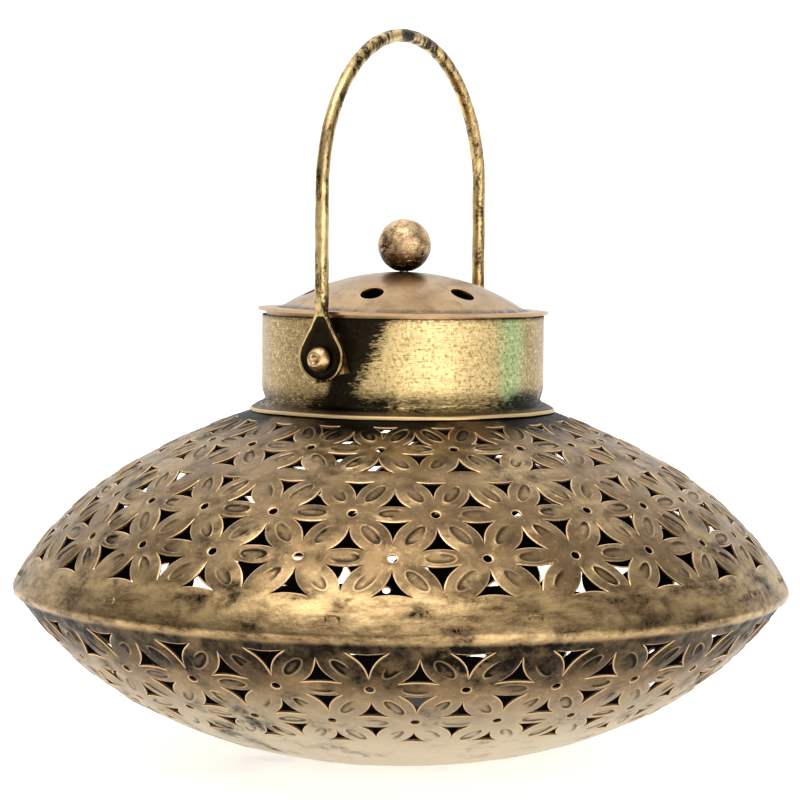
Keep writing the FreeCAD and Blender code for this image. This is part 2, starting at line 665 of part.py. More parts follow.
def make_pivot(side, name):
    """Rivet, square spacer and inner washer of one pivot."""
    head_bend = "(rivet_head_radius^2 + rivet_head_height^2)/(2*rivet_head_height)"
    head_centre = "head_base + rivet_head_height - %s" % head_bend
    dimple_edge = "%s + sqrt((%s)^2 - dimple_radius^2)" % (head_centre, head_bend)
    rivet = turned_body("pivot_rivet_" + name, [
        ("0", "tail_top - tail_height"),
        ("tail_radius", "tail_top - tail_height"),
        ("tail_radius", "tail_top"),
        ("shank_radius", "tail_top"),
        ("shank_radius", "head_base"),
        ("rivet_head_radius", "head_base", head_bend, "left"),
        ("dimple_radius", dimple_edge),
        ("0", "%s - dimple_depth" % dimple_edge),
    ])
    face_outwards(rivet, side)

    washer = turned_body("inner_washer_" + name, [
        ("shank_radius + pivot_fit", "tail_top"),
        ("inner_washer_radius", "tail_top"),
        ("inner_washer_radius", "inner_washer_face"),
        ("shank_radius + pivot_fit", "inner_washer_face"),
    ])
    face_outwards(washer, side)

    spacer = new_body("pivot_spacer_" + name)
    foot = "collar_radius + spacer_gap"
    plan = new_sketch(spacer, spacer.Label + "_plan", "XY_Plane", offset=foot)
    corners = [ring_point("spacer_side/sqrt(2)", "spacer_turn + %d*90" % quarter)
               for quarter in range(4)]
    draw_path(plan, corners)
    draw_circle(plan, "0", "0", "shank_radius + pivot_fit")
    plate = spacer.newObject("PartDesign::Pad", spacer.Label + "_plate")
    plate.Profile = plan
    bind(plate, "Length", "paddle_inner - pivot_play - (%s)" % foot)
    document.recompute()
    face_outwards(spacer, side)


# --- candle ---------------------------------------------------------------------------------

def make_open_can(name, radius, wall, foot, height):
    """Straight-sided can with a flat floor and an open top."""
    bore = "%s - %s" % (radius, wall)
    floor = "%s + %s" % (foot, wall)
    rim = "%s + %s" % (foot, height)
    turned_body(name, [
        ("0", foot),
        (radius, foot),
        (radius, rim),
        (bore, rim),
        (bore, floor),
        ("0", floor),
    ])


def make_wax():
    """Wax poured around the wick and its tab."""
    radius = "tealight_radius - case_wall - wax_clearance"
    tab_hole = "tab_radius + wax_clearance"
    tab_roof = "tab_top + wax_clearance"
    wick_hole = "wick_radius + wax_clearance"
    turned_body("tealight_wax", [
        (tab_hole, "wax_foot"),
        (radius, "wax_foot"),
        (radius, "wax_foot + wax_height"),
        (wick_hole, "wax_foot + wax_height"),
        (wick_hole, tab_roof),
        (tab_hole, tab_roof),
    ])


def make_candle():
    """Candle cup on the floor of the bowl, and the tealight that stands in it."""
    make_open_can("candle_cup", "cup_bore + cup_wall", "cup_wall", "body_wall", "cup_height")
    make_open_can("tealight_case", "tealight_radius", "case_wall", "cup_floor", "tealight_height")
    make_wax()
    turned_body("wick_tab", [
        ("0", "wax_foot"),
        ("tab_radius", "wax_foot"),
        ("tab_radius", "tab_top"),
        ("0", "tab_top"),
    ])
    turned_body("tealight_wick", [
        ("0", "tab_top"),
        ("wick_radius", "tab_top"),
        ("wick_radius", "wax_foot + wax_height + wick_rise"),
        ("0", "wax_foot + wax_height + wick_rise"),
    ])


# --- whole lantern --------------------------------------------------------------------------

def check_document():
    """Stop if any object of the document failed, or a piece has no sound solid."""
    for thing in document.Objects:
        if {"Invalid", "Error"} & set(thing.State):
            raise RuntimeError("%s is %s" % (thing.Label, thing.State))
    for body in pieces():
        if body.Shape.isNull() or not body.Shape.isValid() or body.Shape.Volume <= 0:
            raise RuntimeError(body.Label + " has no valid shape")
        if len(body.Shape.Solids) != 1:
            raise RuntimeError(body.Label + " is not one solid")


def pieces():
    return [thing for thing in document.Objects if thing.TypeId == "PartDesign::Body"]


def write_steps():
    os.makedirs("parts", exist_ok=True)
    for body in pieces():
        body.Shape.exportStep("parts/%s.step" % body.Label)


fill_sheet()
make_lower_bowl()
make_upper_dome()
make_neck_collar()
make_lid_dome()
make_lid_locating_ring()
make_knob()
make_bail_handle()
make_pivot(1, "right")
make_pivot(-1, "left")
make_candle()
document.recompute()
check_document()
write_steps()
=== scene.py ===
"""Hanging lantern: the looks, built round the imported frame. Metres, Z up, origin under the foot."""
import bmesh
import bpy
import math
from mathutils import Matrix, Vector, geometry, noise


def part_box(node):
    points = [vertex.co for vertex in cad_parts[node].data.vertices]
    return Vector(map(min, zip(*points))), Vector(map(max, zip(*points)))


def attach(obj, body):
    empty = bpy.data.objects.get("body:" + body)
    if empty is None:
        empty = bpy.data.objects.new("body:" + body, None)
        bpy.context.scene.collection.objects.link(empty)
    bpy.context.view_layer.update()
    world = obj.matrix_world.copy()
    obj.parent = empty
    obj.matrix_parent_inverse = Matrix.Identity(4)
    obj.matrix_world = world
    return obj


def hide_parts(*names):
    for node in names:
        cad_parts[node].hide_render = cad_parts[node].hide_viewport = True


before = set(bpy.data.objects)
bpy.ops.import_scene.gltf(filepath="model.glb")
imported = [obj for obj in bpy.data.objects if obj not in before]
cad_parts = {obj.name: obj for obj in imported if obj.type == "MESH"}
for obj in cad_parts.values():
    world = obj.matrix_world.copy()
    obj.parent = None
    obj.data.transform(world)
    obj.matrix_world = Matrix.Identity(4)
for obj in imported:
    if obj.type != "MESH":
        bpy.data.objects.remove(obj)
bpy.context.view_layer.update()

MM = 0.001
WALL = 0.8 * MM  # sheet of bowl, dome and collar
FLOWERS = 25  # flowers in each row of the main band and of the bowl
NECK_FLOWERS = 19


# --- node trees -------------------------------------------------------------------------------

class Link:
    """A socket of a node tree. Plain arithmetic on it adds Math nodes."""

    def __init__(self, tree, socket=None):
        self.tree = tree
        self.socket = socket

    def node(self, kind, settings=None, inputs=None, output=0):
        """Any other node: its settings first, then the values or links of its sockets."""
        made = self.tree.nodes.new(kind)
        for name, value in (settings or {}).items():
            if name == "stops":
                ramp = made.color_ramp
                ramp.elements.remove(ramp.elements[1])
                for number, (place, colour) in enumerate(value):
                    stop = ramp.elements[0] if number == 0 else ramp.elements.new(place)
                    stop.position = place
                    stop.color = (*colour, 1.0)
            else:
                setattr(made, name, value)
        for name, value in (inputs or {}).items():
            socket = made.inputs[name]
            if isinstance(value, Link):
                self.tree.links.new(value.socket, socket)
            else:
                socket.default_value = value
        return Link(self.tree, made.outputs[output])

    def math(self, operation, *values, clamp=False):
        return self.node("ShaderNodeMath", {"operation": operation, "use_clamp": clamp},
                         dict(enumerate(values)))

    def __add__(self, other):
        return self.math("ADD", self, other)

    __radd__ = __add__

    def __mul__(self, other):
        return self.math("MULTIPLY", self, other)

    __rmul__ = __mul__

    def __sub__(self, other):
        return self.math("SUBTRACT", self, other)

    def __rsub__(self, other):
        return self.math("SUBTRACT", other, self)

    def __truediv__(self, other):
        return self.math("DIVIDE", self, other)

    def clamped(self):
        return self.math("ADD", self, 0.0, clamp=True)

    def ramp(self, low, high):
        """0 at low, 1 at high, smooth between; low may be above high."""
        return self.node("ShaderNodeMapRange", {"interpolation_type": "SMOOTHSTEP"},
                         {0: self, 1: low, 2: high, 3: 0.0, 4: 1.0})

    def mix(self, plain, other):
        """Colour that goes from plain to other as this value goes from 0 to 1."""
        plain, other = (c if isinstance(c, Link) else (*c, 1.0) for c in (plain, other))
        return self.node("ShaderNodeMix", {"data_type": "RGBA"}, {0: self, 6: plain, 7: other},
                         output=2)

    def between(self, low, high):
        """Value that goes from low to high as this value goes from 0 to 1."""
        return self.node("ShaderNodeMapRange", None, {0: self, 1: 0.0, 2: 1.0, 3: low, 4: high})


def blotches(place, size, detail=4.0, rough=0.6, stretch=None):
    """Soft noise, its patches about size metres across."""
    if stretch:
        place = place.node("ShaderNodeVectorMath", {"operation": "MULTIPLY"}, {0: place, 1: stretch})
    return place.node("ShaderNodeTexNoise", None,
                      {"Vector": place, "Scale": 1.0 / size, "Detail": detail, "Roughness": rough})


def new_material(name):
    """Empty material, its Principled shader and its object coordinates."""
    material = bpy.data.materials.new(name)
    material.use_nodes = True
    tree = material.node_tree
    shader = tree.nodes["Principled BSDF"]
    start = Link(tree)
    place = start.node("ShaderNodeTexCoord", None, None, output=3)
    return material, shader, place


def plug(shader, **sockets):
    """Give the shader's sockets their values or links."""
    for name, value in sockets.items():
        socket = shader.inputs[name.replace("_", " ").title()]
        if isinstance(value, Link):
            value.tree.links.new(value.socket, socket)
        else:
            socket.default_value = value


def raise_grain(place, height, distance, strength=1.0):
    """Normal from a height pattern; distance is its depth in metres."""
    return place.node("ShaderNodeBump", None,
                      {"Strength": strength, "Distance": distance, "Height": height})


# --- meshes -----------------------------------------------------------------------------------

def mesh_object(name, points, faces, marks=None):
    mesh = bpy.data.meshes.new(name)
    mesh.from_pydata(points, [], faces)
    for mark, values in (marks or {}).items():
        layer = mesh.attributes.new(mark, "FLOAT", "POINT")
        layer.data.foreach_set("value", values)
    piece = bpy.data.objects.new(name, mesh)
    bpy.context.scene.collection.objects.link(piece)
    return piece


def settle(piece):
    """Turn what the modifiers make into the piece's plain mesh."""
    bpy.context.view_layer.update()
    graph = bpy.context.evaluated_depsgraph_get()
    mesh = bpy.data.meshes.new_from_object(piece.evaluated_get(graph), depsgraph=graph)
    piece.modifiers.clear()
    old = piece.data
    piece.data = mesh
    bpy.data.meshes.remove(old)
    mesh.name = piece.name
    return piece


def face_outwards(piece):
    """Turn the faces of a closed piece outwards."""
    form = bmesh.new()
    form.from_mesh(piece.data)
    bmesh.ops.recalc_face_normals(form, faces=form.faces)
    form.to_mesh(piece.data)
    form.free()


def smooth_over(piece, sharp=50.0):
    """Smooth shading, with a hard edge where faces meet at more than an angle."""
    form = bmesh.new()
    form.from_mesh(piece.data)
    for face in form.faces:
        face.smooth = True
    for edge in form.edges:
        bent = len(edge.link_faces) != 2 or edge.calc_face_angle(0.0) > math.radians(sharp)
        edge.smooth = not bent
    form.to_mesh(piece.data)
    form.free()
    return piece


def dress(piece, *materials):
    piece.data.materials.clear()
    for material in materials:
        piece.data.materials.append(material)


def fit(piece, body, slot, *nodes):
    """The piece stands for the nodes and rides on the body; slot is not used."""
    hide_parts(*nodes)
    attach(piece, body)


def thicken(piece, wall, inside=1, rim=0):
    """Give a sheet its wall, inwards from the outer face."""
    solid = piece.modifiers.new("wall", "SOLIDIFY")
    solid.thickness = wall
    solid.offset = -1.0
    solid.use_even_offset = False
    solid.use_quality_normals = True
    solid.material_offset = inside
    solid.material_offset_rim = rim
    return settle(piece)


# --- spun shells ------------------------------------------------------------------------------

class SpunLine:
    """Outer line of a spun shell: tangent bends that run outwards from a radius and a height."""

    def __init__(self, radius, height, bends, rise):
        self.rise = rise
        self.arcs = []
        travel = 0.0
        for bend, before, after in bends:
            before, after = math.radians(before), math.radians(after)
            self.arcs.append((travel, radius, height, bend, before))
            radius += bend * (math.sin(after) - math.sin(before))
            height += rise * bend * (math.cos(before) - math.cos(after))
            travel += bend * (after - before)
        self.length = travel

    def place(self, travel):
        """Radius, height and slope at a distance along the line."""
        begun, radius, height, bend, before = [a for a in self.arcs if a[0] <= travel + 1e-9][-1]
        slope = before + (travel - begun) / bend
        radius += bend * (math.sin(slope) - math.sin(before))
        height += self.rise * bend * (math.cos(before) - math.cos(slope))
        return radius, height, slope

    def travel_to(self, radius):
        """Distance along the line to a radius."""
        begun, start, _, bend, before = [a for a in self.arcs if a[1] <= radius + 1e-9][-1]
        return begun + bend * (math.asin(math.sin(before) + (radius - start) / bend) - before)

    def point(self, travel, turn):
        radius, height, _ = self.place(travel)
        return Vector((radius * math.cos(turn), radius * math.sin(turn), height))

    def normal(self, travel, turn):
        _, _, slope = self.place(travel)
        out = math.sin(slope)
        return Vector((out * math.cos(turn), out * math.sin(turn), -self.rise * math.cos(slope)))


NOSE_RADIUS = 3.0 * MM
BODY_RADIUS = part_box("upper_dome")[1].x
NOSE_CENTRE = BODY_RADIUS - NOSE_RADIUS
LIP_RADIUS = NOSE_CENTRE + (NOSE_RADIUS - WALL) * math.sin(math.radians(120)) - 0.05 * MM
NECK_HOLE = 42.0 * MM
BASE_RADIUS = 29.0 * MM
LIP_HEIGHT = 1.6 * MM


def sines(*slopes):
    return [math.sin(math.radians(slope)) for slope in slopes]


def dome_outline():
    neck, crown, brow, rim = sines(18, 28, 54, 66)
    crown_bend = 254.0 * MM
    brow_bend = 111.3 * MM
    rim_start = NECK_HOLE + crown_bend * (crown - neck) + brow_bend * (brow - crown)
    rim_bend = (NOSE_CENTRE + NOSE_RADIUS * rim - rim_start) / (rim - brow)
    bends = [(crown_bend, 18, 28), (brow_bend, 28, 54), (rim_bend, 54, 66), (NOSE_RADIUS, 66, 120)]
    return SpunLine(NECK_HOLE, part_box("upper_dome")[1].z, bends, -1)


def bowl_outline():
    toe, belly, brow = sines(6, 28, 56)
    belly_bend = 150.0 * MM
    brow_bend = (LIP_RADIUS - BASE_RADIUS - belly_bend * (belly - toe)) / (brow - belly)
    return SpunLine(BASE_RADIUS, 0.0, [(belly_bend, 6, 28), (brow_bend, 28, 56)], 1)


# --- pierced flowers --------------------------------------------------------------------------

EYE = 1.35 * MM
EYE_LIP = 0.55 * MM  # rolled edge round an eye
RING_LONG = 4.7 * MM  # half length of the raised ring on a petal
RING_WIDE = 2.05 * MM
RING_SHORE = 0.5 * MM  # from the ring's crest down to the petal
HOLE_LIP = 0.55 * MM  # rolled edge round a hole
MESH_STEP = 2.3 * MM  # widest gap left between points of a petal
SLIVER = 1e-4  # mm2: flat faces smaller than this lie along a tile's border
ROW_STEP = 1000  # a petal's number is its row times this, plus its place round the axis


def mid_stops(stops, length):
    """The stops of a side, with more put in where two stand far apart."""
    full = [stops[0]]
    for stop in stops[1:]:
        gap = (stop - full[-1]) * length
        parts = max(1, math.ceil(gap / MESH_STEP))
        start = full[-1]
        full += [start + (stop - start) * n / parts for n in range(1, parts + 1)]
    return full


class Side:
    """One petal between two flower middles, seen from the tile on one side of it."""

    def __init__(self, shell, start, end, parts=None):
        self.ends = (start, end)
        middle = ((start[0] + end[0]) / 2, (start[1] + end[1]) / 2)
        self.middle = middle
        self.around = shell.place(middle[0])[0]
        self.length = math.hypot(end[0] - start[0], (end[1] - start[1]) * self.around)
        if parts:
            self.stops = [n / parts for n in range(parts + 1)]
        else:
            self.stops = self.petal_stops(shell)

    def petal_stops(self, shell):
        stops = []
        for near, far in (self.ends, self.ends[::-1]):
            around = shell.place(near[0])[0]
            length = math.hypot(far[0] - near[0], (far[1] - near[1]) * around)
            begin = [EYE / length, (EYE + EYE_LIP) / length] if near[2] else [0.0]
            ring = [0.5 - (RING_LONG + reach) / self.length
                    for reach in (RING_SHORE, 0.0, -RING_SHORE)]
            stops.append(begin + ring)
        forward = stops[0] + [0.5] + [1 - stop for stop in reversed(stops[1])]
        return mid_stops(forward, self.length)

    def at(self, share):
        start, end = self.ends
        return (start[0] + (end[0] - start[0]) * share, start[1] + (end[1] - start[1]) * share)

    def half_ring(self, reach, inwards):
        """Points of one loop of the raised ring, on the tile's side of the petal."""
        start, end = self.ends
        along = Vector((end[0] - start[0], (end[1] - start[1]) * self.around)).normalized()
        across = Vector((-along.y, along.x)) * inwards
        points = []
        count = 9
        for number in range(count + 1):
            bend = math.pi * number / count
            step = (along * math.cos(bend) * (RING_LONG + reach)
                    + across * math.sin(bend) * (RING_WIDE + reach))
            points.append(((self.middle[0] + step.x, self.middle[1] + step.y / self.around),
                           math.atan2(step.y, step.x)))
        return points


def bowed_edge(start, end, centre, bow, parts):
    """Points from start towards end, bowed in towards the centre by a share of the length."""
    chord = end - start
    out = Vector((-chord.y, chord.x))
    if out.dot(centre - start) < 0:
        out = -out
    return [start + chord * (n / parts) + out * bow * 4 * (n / parts) * (1 - n / parts)
            for n in range(parts)]


def grown(loop, reach):
    """The closed loop moved outwards by a distance."""
    centre = sum(loop, Vector((0, 0))) / len(loop)
    points = []
    for number, here in enumerate(loop):
        before, after = loop[number - 1], loop[(number + 1) % len(loop)]
        first, second = (here - before).normalized(), (after - here).normalized()
        along = first + second
        if along.length < 0.3:
            along = Vector((-(here - centre).y, (here - centre).x))
        out = Vector((along.y, -along.x)).normalized()
        turned = first.x * second.y - first.y * second.x
        span = 1.0 + 0.5 * min(1.0, abs(turned))
        if abs(turned) > 0.5:
            out = (here - centre).normalized()
        elif out.dot(here - centre) < 0 and out.dot(here - centre) < -0.2 * (here - centre).length:
            out = -out
        points.append(here + out * reach * span)
    return points


def loop_area(loop):
    """Area inside a flat loop, above zero when it runs anticlockwise."""
    return sum(a.x * b.y - a.y * b.x for a, b in zip(loop, loop[1:] + loop[:1])) / 2


def inside_loop(point, loop):
    crossings = 0
    for number, here in enumerate(loop):
        before = loop[number - 1]
        if (here.y > point.y) != (before.y > point.y):
            reach = (point.y - here.y) / (before.y - here.y)
            if point.x < here.x + reach * (before.x - here.x):
                crossings += 1
    return crossings % 2 == 1


def drawn_back(loop, inner, border):
    """The loop, drawn back towards the inner one where it would reach the border."""
    kept = []
    for spot, base in zip(loop, inner):
        share = 1.0
        while share > 0.1 and not inside_loop(base + (spot - base) * (share + 0.3), border):
            share -= 0.1
        kept.append(base + (spot - base) * share)
    return kept


class Sheet:
    """Points and faces of one pitch of a pierced band, with a mark or two on every point."""

    MARKS = ("crest", "groove", "bend", "edge", "petal")

    def __init__(self, shell):
        self.shell = shell
        self.points = []
        self.faces = []
        self.marks = {name: [] for name in self.MARKS}

    def add_point(self, travel, turn, marks=None):
        self.points.append(self.shell.point(travel, turn))
        for name in self.MARKS:
            self.marks[name].append((marks or {}).get(name, 0.0))
        return len(self.points) - 1

    def add_face(self, corners, normal):
        here, second, third = (self.points[c] for c in corners[:3])
        if (second - here).cross(third - here).dot(normal) < 0:
            corners = corners[::-1]
        self.faces.append(tuple(corners))

    def add_rows(self, travels, turns):
        """Plain sheet between rows of points at the same turns."""
        rows = [[self.add_point(travel, turn) for turn in turns] for travel in travels]
        for number in range(len(rows) - 1):
            for column in range(len(turns) - 1):
                normal = self.shell.normal((travels[number] + travels[number + 1]) / 2, turns[column])
                self.add_face([rows[number][column], rows[number][column + 1],
                               rows[number + 1][column + 1], rows[number + 1][column]], normal)

    def add_tile(self, corners, hole, quarters, plain_parts):
        """Metal round one hole. corners are (travel, turn, has an eye): two on one line, then the
        tip; quarters are the numbers of the petals on its sides, or None on a plain side."""
        shell = self.shell
        around = shell.place(sum(c[0] for c in corners) / 3)[0]

        def flat(spot):
            return Vector((spot[0], spot[1] * around)) / MM

        points = []
        marks = []
        lines = []

        def add(spot, **mark):
            points.append(flat(spot))
            marks.append(mark)
            return len(points) - 1

        centre = flat((sum(c[0] for c in corners) / 3, sum(c[1] for c in corners) / 3))
        outline = []
        for number in range(3):
            start, end = corners[number], corners[(number + 1) % 3]
            ringed = quarters[number] is not None
            side = Side(shell, start, end, None if ringed else plain_parts)
            stops = side.stops
            for stop in stops[:-1] if not end[2] else stops:
                spot = side.at(stop)
                mark = {}
                if ringed:
                    away = abs(stop - 0.5) * side.length - RING_LONG
                    heading = math.atan2((end[1] - start[1]) * side.around, end[0] - start[0])
                    bend = heading if stop > 0.5 else heading + math.pi
                    if abs(away) < 1e-7:
                        mark = {"crest": 1.0, "bend": bend}
                    elif abs(away + RING_SHORE) < 1e-7:
                        mark = {"groove": 1.0, "bend": bend}
                    mark["petal"] = quarters[number]
                eye_here = (stop == stops[0] and start[2]) or (stop == stops[-1] and end[2])
                if ringed and eye_here:
                    mark["edge"] = 1.0
                outline.append(add(spot, **mark))
            if end[2]:
                outline += self.eye_arc(end, start, corners[(number + 2) % 3], EYE, add)
            if ringed:
                inwards = 1.0
                toward = flat(side.half_ring(0.0, 1.0)[4][0])
                if (toward - centre).length > (flat(side.half_ring(0.0, -1.0)[4][0]) - centre).length:
                    inwards = -1.0
                for reach, mark in ((RING_SHORE, None), (0.0, "crest"), (-RING_SHORE, "groove")):
                    ring = side.half_ring(reach, inwards)
                    chain = []
                    for spot, bend in ring[1:-1]:
                        details = {"petal": quarters[number], "bend": bend}
                        if mark:
                            details[mark] = 1.0
                        chain.append(add(spot, **details))
                    ends = [self.nearest(points, flat(ring[0][0]), len(points)),
                            self.nearest(points, flat(ring[-1][0]), len(points))]
                    chain = [ends[0]] + chain + [ends[1]]
                    lines += list(zip(chain, chain[1:]))
        for number in range(3):
            corner = corners[number]
            if corner[2]:
                before, after = corners[number - 1], corners[(number + 1) % 3]
                lip = self.eye_arc(corner, before, after, EYE + EYE_LIP, add)
                ends = [self.nearest(points, flat(self.eye_spot(corner, other, EYE + EYE_LIP)),
                                     len(points) - len(lip)) for other in (before, after)]
                chain = [ends[0]] + lip + [ends[1]]
                lines += list(zip(chain, chain[1:]))
        lines += list(zip(outline, outline[1:] + outline[:1]))

        hole_loop = self.hole_loop([flat(c) for c in corners], hole)
        border = [points[n] for n in outline]
        lip_loop = drawn_back(grown(hole_loop, HOLE_LIP / MM), hole_loop, border)
        edge_ids = []
        for loop, mark in ((hole_loop, {"edge": 1.0}), (lip_loop, {})):
            ids = []
            for spot in loop:
                points.append(spot)
                marks.append(mark)
                ids.append(len(points) - 1)
            edge_ids.append(ids)
            lines += list(zip(ids, ids[1:] + ids[:1]))

        low = Vector((min(p.x for p in border), min(p.y for p in border)))
        high = Vector((max(p.x for p in border), max(p.y for p in border)))
        step = MESH_STEP / MM
        rows = int((high.x - low.x) / step) + 1
        columns = int((high.y - low.y) / step) + 1
        fixed = list(points)
        for row in range(rows):
            for column in range(columns):
                shift = 0.5 if row % 2 else 0.0
                spot = low + Vector(((row + 0.5) * step, (column + shift) * step))
                clear = min((spot - other).length for other in fixed) > 0.42 * step
                if clear and inside_loop(spot, border) and not inside_loop(spot, lip_loop):
                    points.append(spot)
                    marks.append({})

        spots, _, faces, sources, _, _ = geometry.delaunay_2d_cdt(points, lines, [], 0, 1e-4)
        names = []
        for spot, source in zip(spots, sources):
            mark = dict(marks[source[0]]) if source else {}
            for other in source[1:]:
                mark.update(marks[other])
            names.append(self.add_point(spot.x * MM, spot.y * MM / around, mark))
        for face in faces:
            middle = sum((spots[n] for n in face), Vector((0, 0))) / 3
            if abs(loop_area([spots[n] for n in face])) < SLIVER:
                continue
            if inside_loop(middle, border) and not inside_loop(middle, hole_loop):
                normal = shell.normal(middle.x * MM, middle.y * MM / around)
                self.add_face([names[n] for n in face], normal)

    @staticmethod
    def nearest(points, spot, count):
        return min(range(count), key=lambda n: (points[n] - spot).length)

    def eye_spot(self, flower, other, radius):
        """Point at a distance from a flower's middle on the way to another."""
        around = self.shell.place(flower[0])[0]
        length = math.hypot(other[0] - flower[0], (other[1] - flower[1]) * around)
        share = radius / length
        return (flower[0] + (other[0] - flower[0]) * share,
                flower[1] + (other[1] - flower[1]) * share)

    def eye_arc(self, flower, before, after, radius, add):
        """Points of an eye between the petals towards before and after, both left out."""
        around = self.shell.place(flower[0])[0]
        angles = [math.atan2((other[1] - flower[1]) * around, other[0] - flower[0])
                  for other in (before, after)]
        turn = (angles[1] - angles[0] + math.pi) % (2 * math.pi) - math.pi
        made = []
        for number in (1, 2):
            angle = angles[0] + turn * number / 3
            spot = (flower[0] + radius * math.cos(angle),
                    flower[1] + radius * math.sin(angle) / around)
            made.append(add(spot, edge=1.0 if radius == EYE else 0.0))
        return made

    @staticmethod
    def hole_loop(corners, hole):
        """Outline of the three-cornered hole in a tile; hole is (half base as a share of the
        pitch, base stand-off and tip stand-off as shares of the height)."""
        half_base, base_inset, tip_inset = hole
        first, second, tip = corners
        base_middle = (first + second) / 2
        rise = tip - base_middle
        pitch = second - first
        ends = [base_middle + rise * base_inset - pitch * half_base,
                base_middle + rise * base_inset + pitch * half_base,
                tip - rise * tip_inset]
        centre = sum(ends, Vector((0, 0))) / 3
        loop = bowed_edge(ends[0], ends[1], centre, 0.07, 6)
        loop += bowed_edge(ends[1], ends[2], centre, 0.12, 7)
        loop += bowed_edge(ends[2], ends[0], centre, 0.12, 7)
        return loop if loop_area(loop) > 0 else loop[::-1]


def pierced_wedge(name, shell, radii, eyed, turn, count, holes, side_parts, plain):
    """One pitch of a pierced band, and the plain sheet before and after it.

    radii are the band's lattice lines, eyed the lines whose flowers have an eye, holes the hole
    shape of each strip, as (on its first line, on its second); side_parts are how finely the
    first and last lines are divided; plain are the distances along the shell of the plain rows
    that join on to the first and the last line."""
    pitch = 2 * math.pi / count
    sheet = Sheet(shell)
    travels = [shell.travel_to(radius) for radius in radii]

    def flower(line, halves):
        return (travels[line], turn + halves * pitch / 2, line in eyed)

    def quarter(first, second):
        middle = (first[1] + second[1]) / 2 - turn
        return round(middle / (pitch / 4))

    last = len(radii) - 1
    for line in range(last):
        shift = line % 2
        for base, tip in ((line, line + 1), (line + 1, line)):
            offset = shift if base == line else 1 - shift
            corners = [flower(base, offset), flower(base, offset + 2), flower(tip, offset + 1)]
            quarters = []
            for number in range(3):
                start, end = corners[number], corners[(number + 1) % 3]
                on_edge = number == 0 and base in (0, last)
                row = base * 2 if number == 0 else base + tip
                quarters.append(None if on_edge else row * ROW_STEP + quarter(start, end) + 8)
            parts = side_parts[0] if base == 0 else side_parts[1]
            sheet.add_tile(corners, holes[line][0 if base == line else 1], quarters, parts)
    for line, rows, parts in ((0, plain[0], side_parts[0]), (last, plain[1], side_parts[1])):
        start = flower(line, line % 2)[1]
        turns = [start + pitch * n / parts for n in range(parts + 1)]
        if rows:
            sheet.add_rows([travels[line]] + rows, turns)
    return mesh_object(name, sheet.points, sheet.faces, sheet.marks)


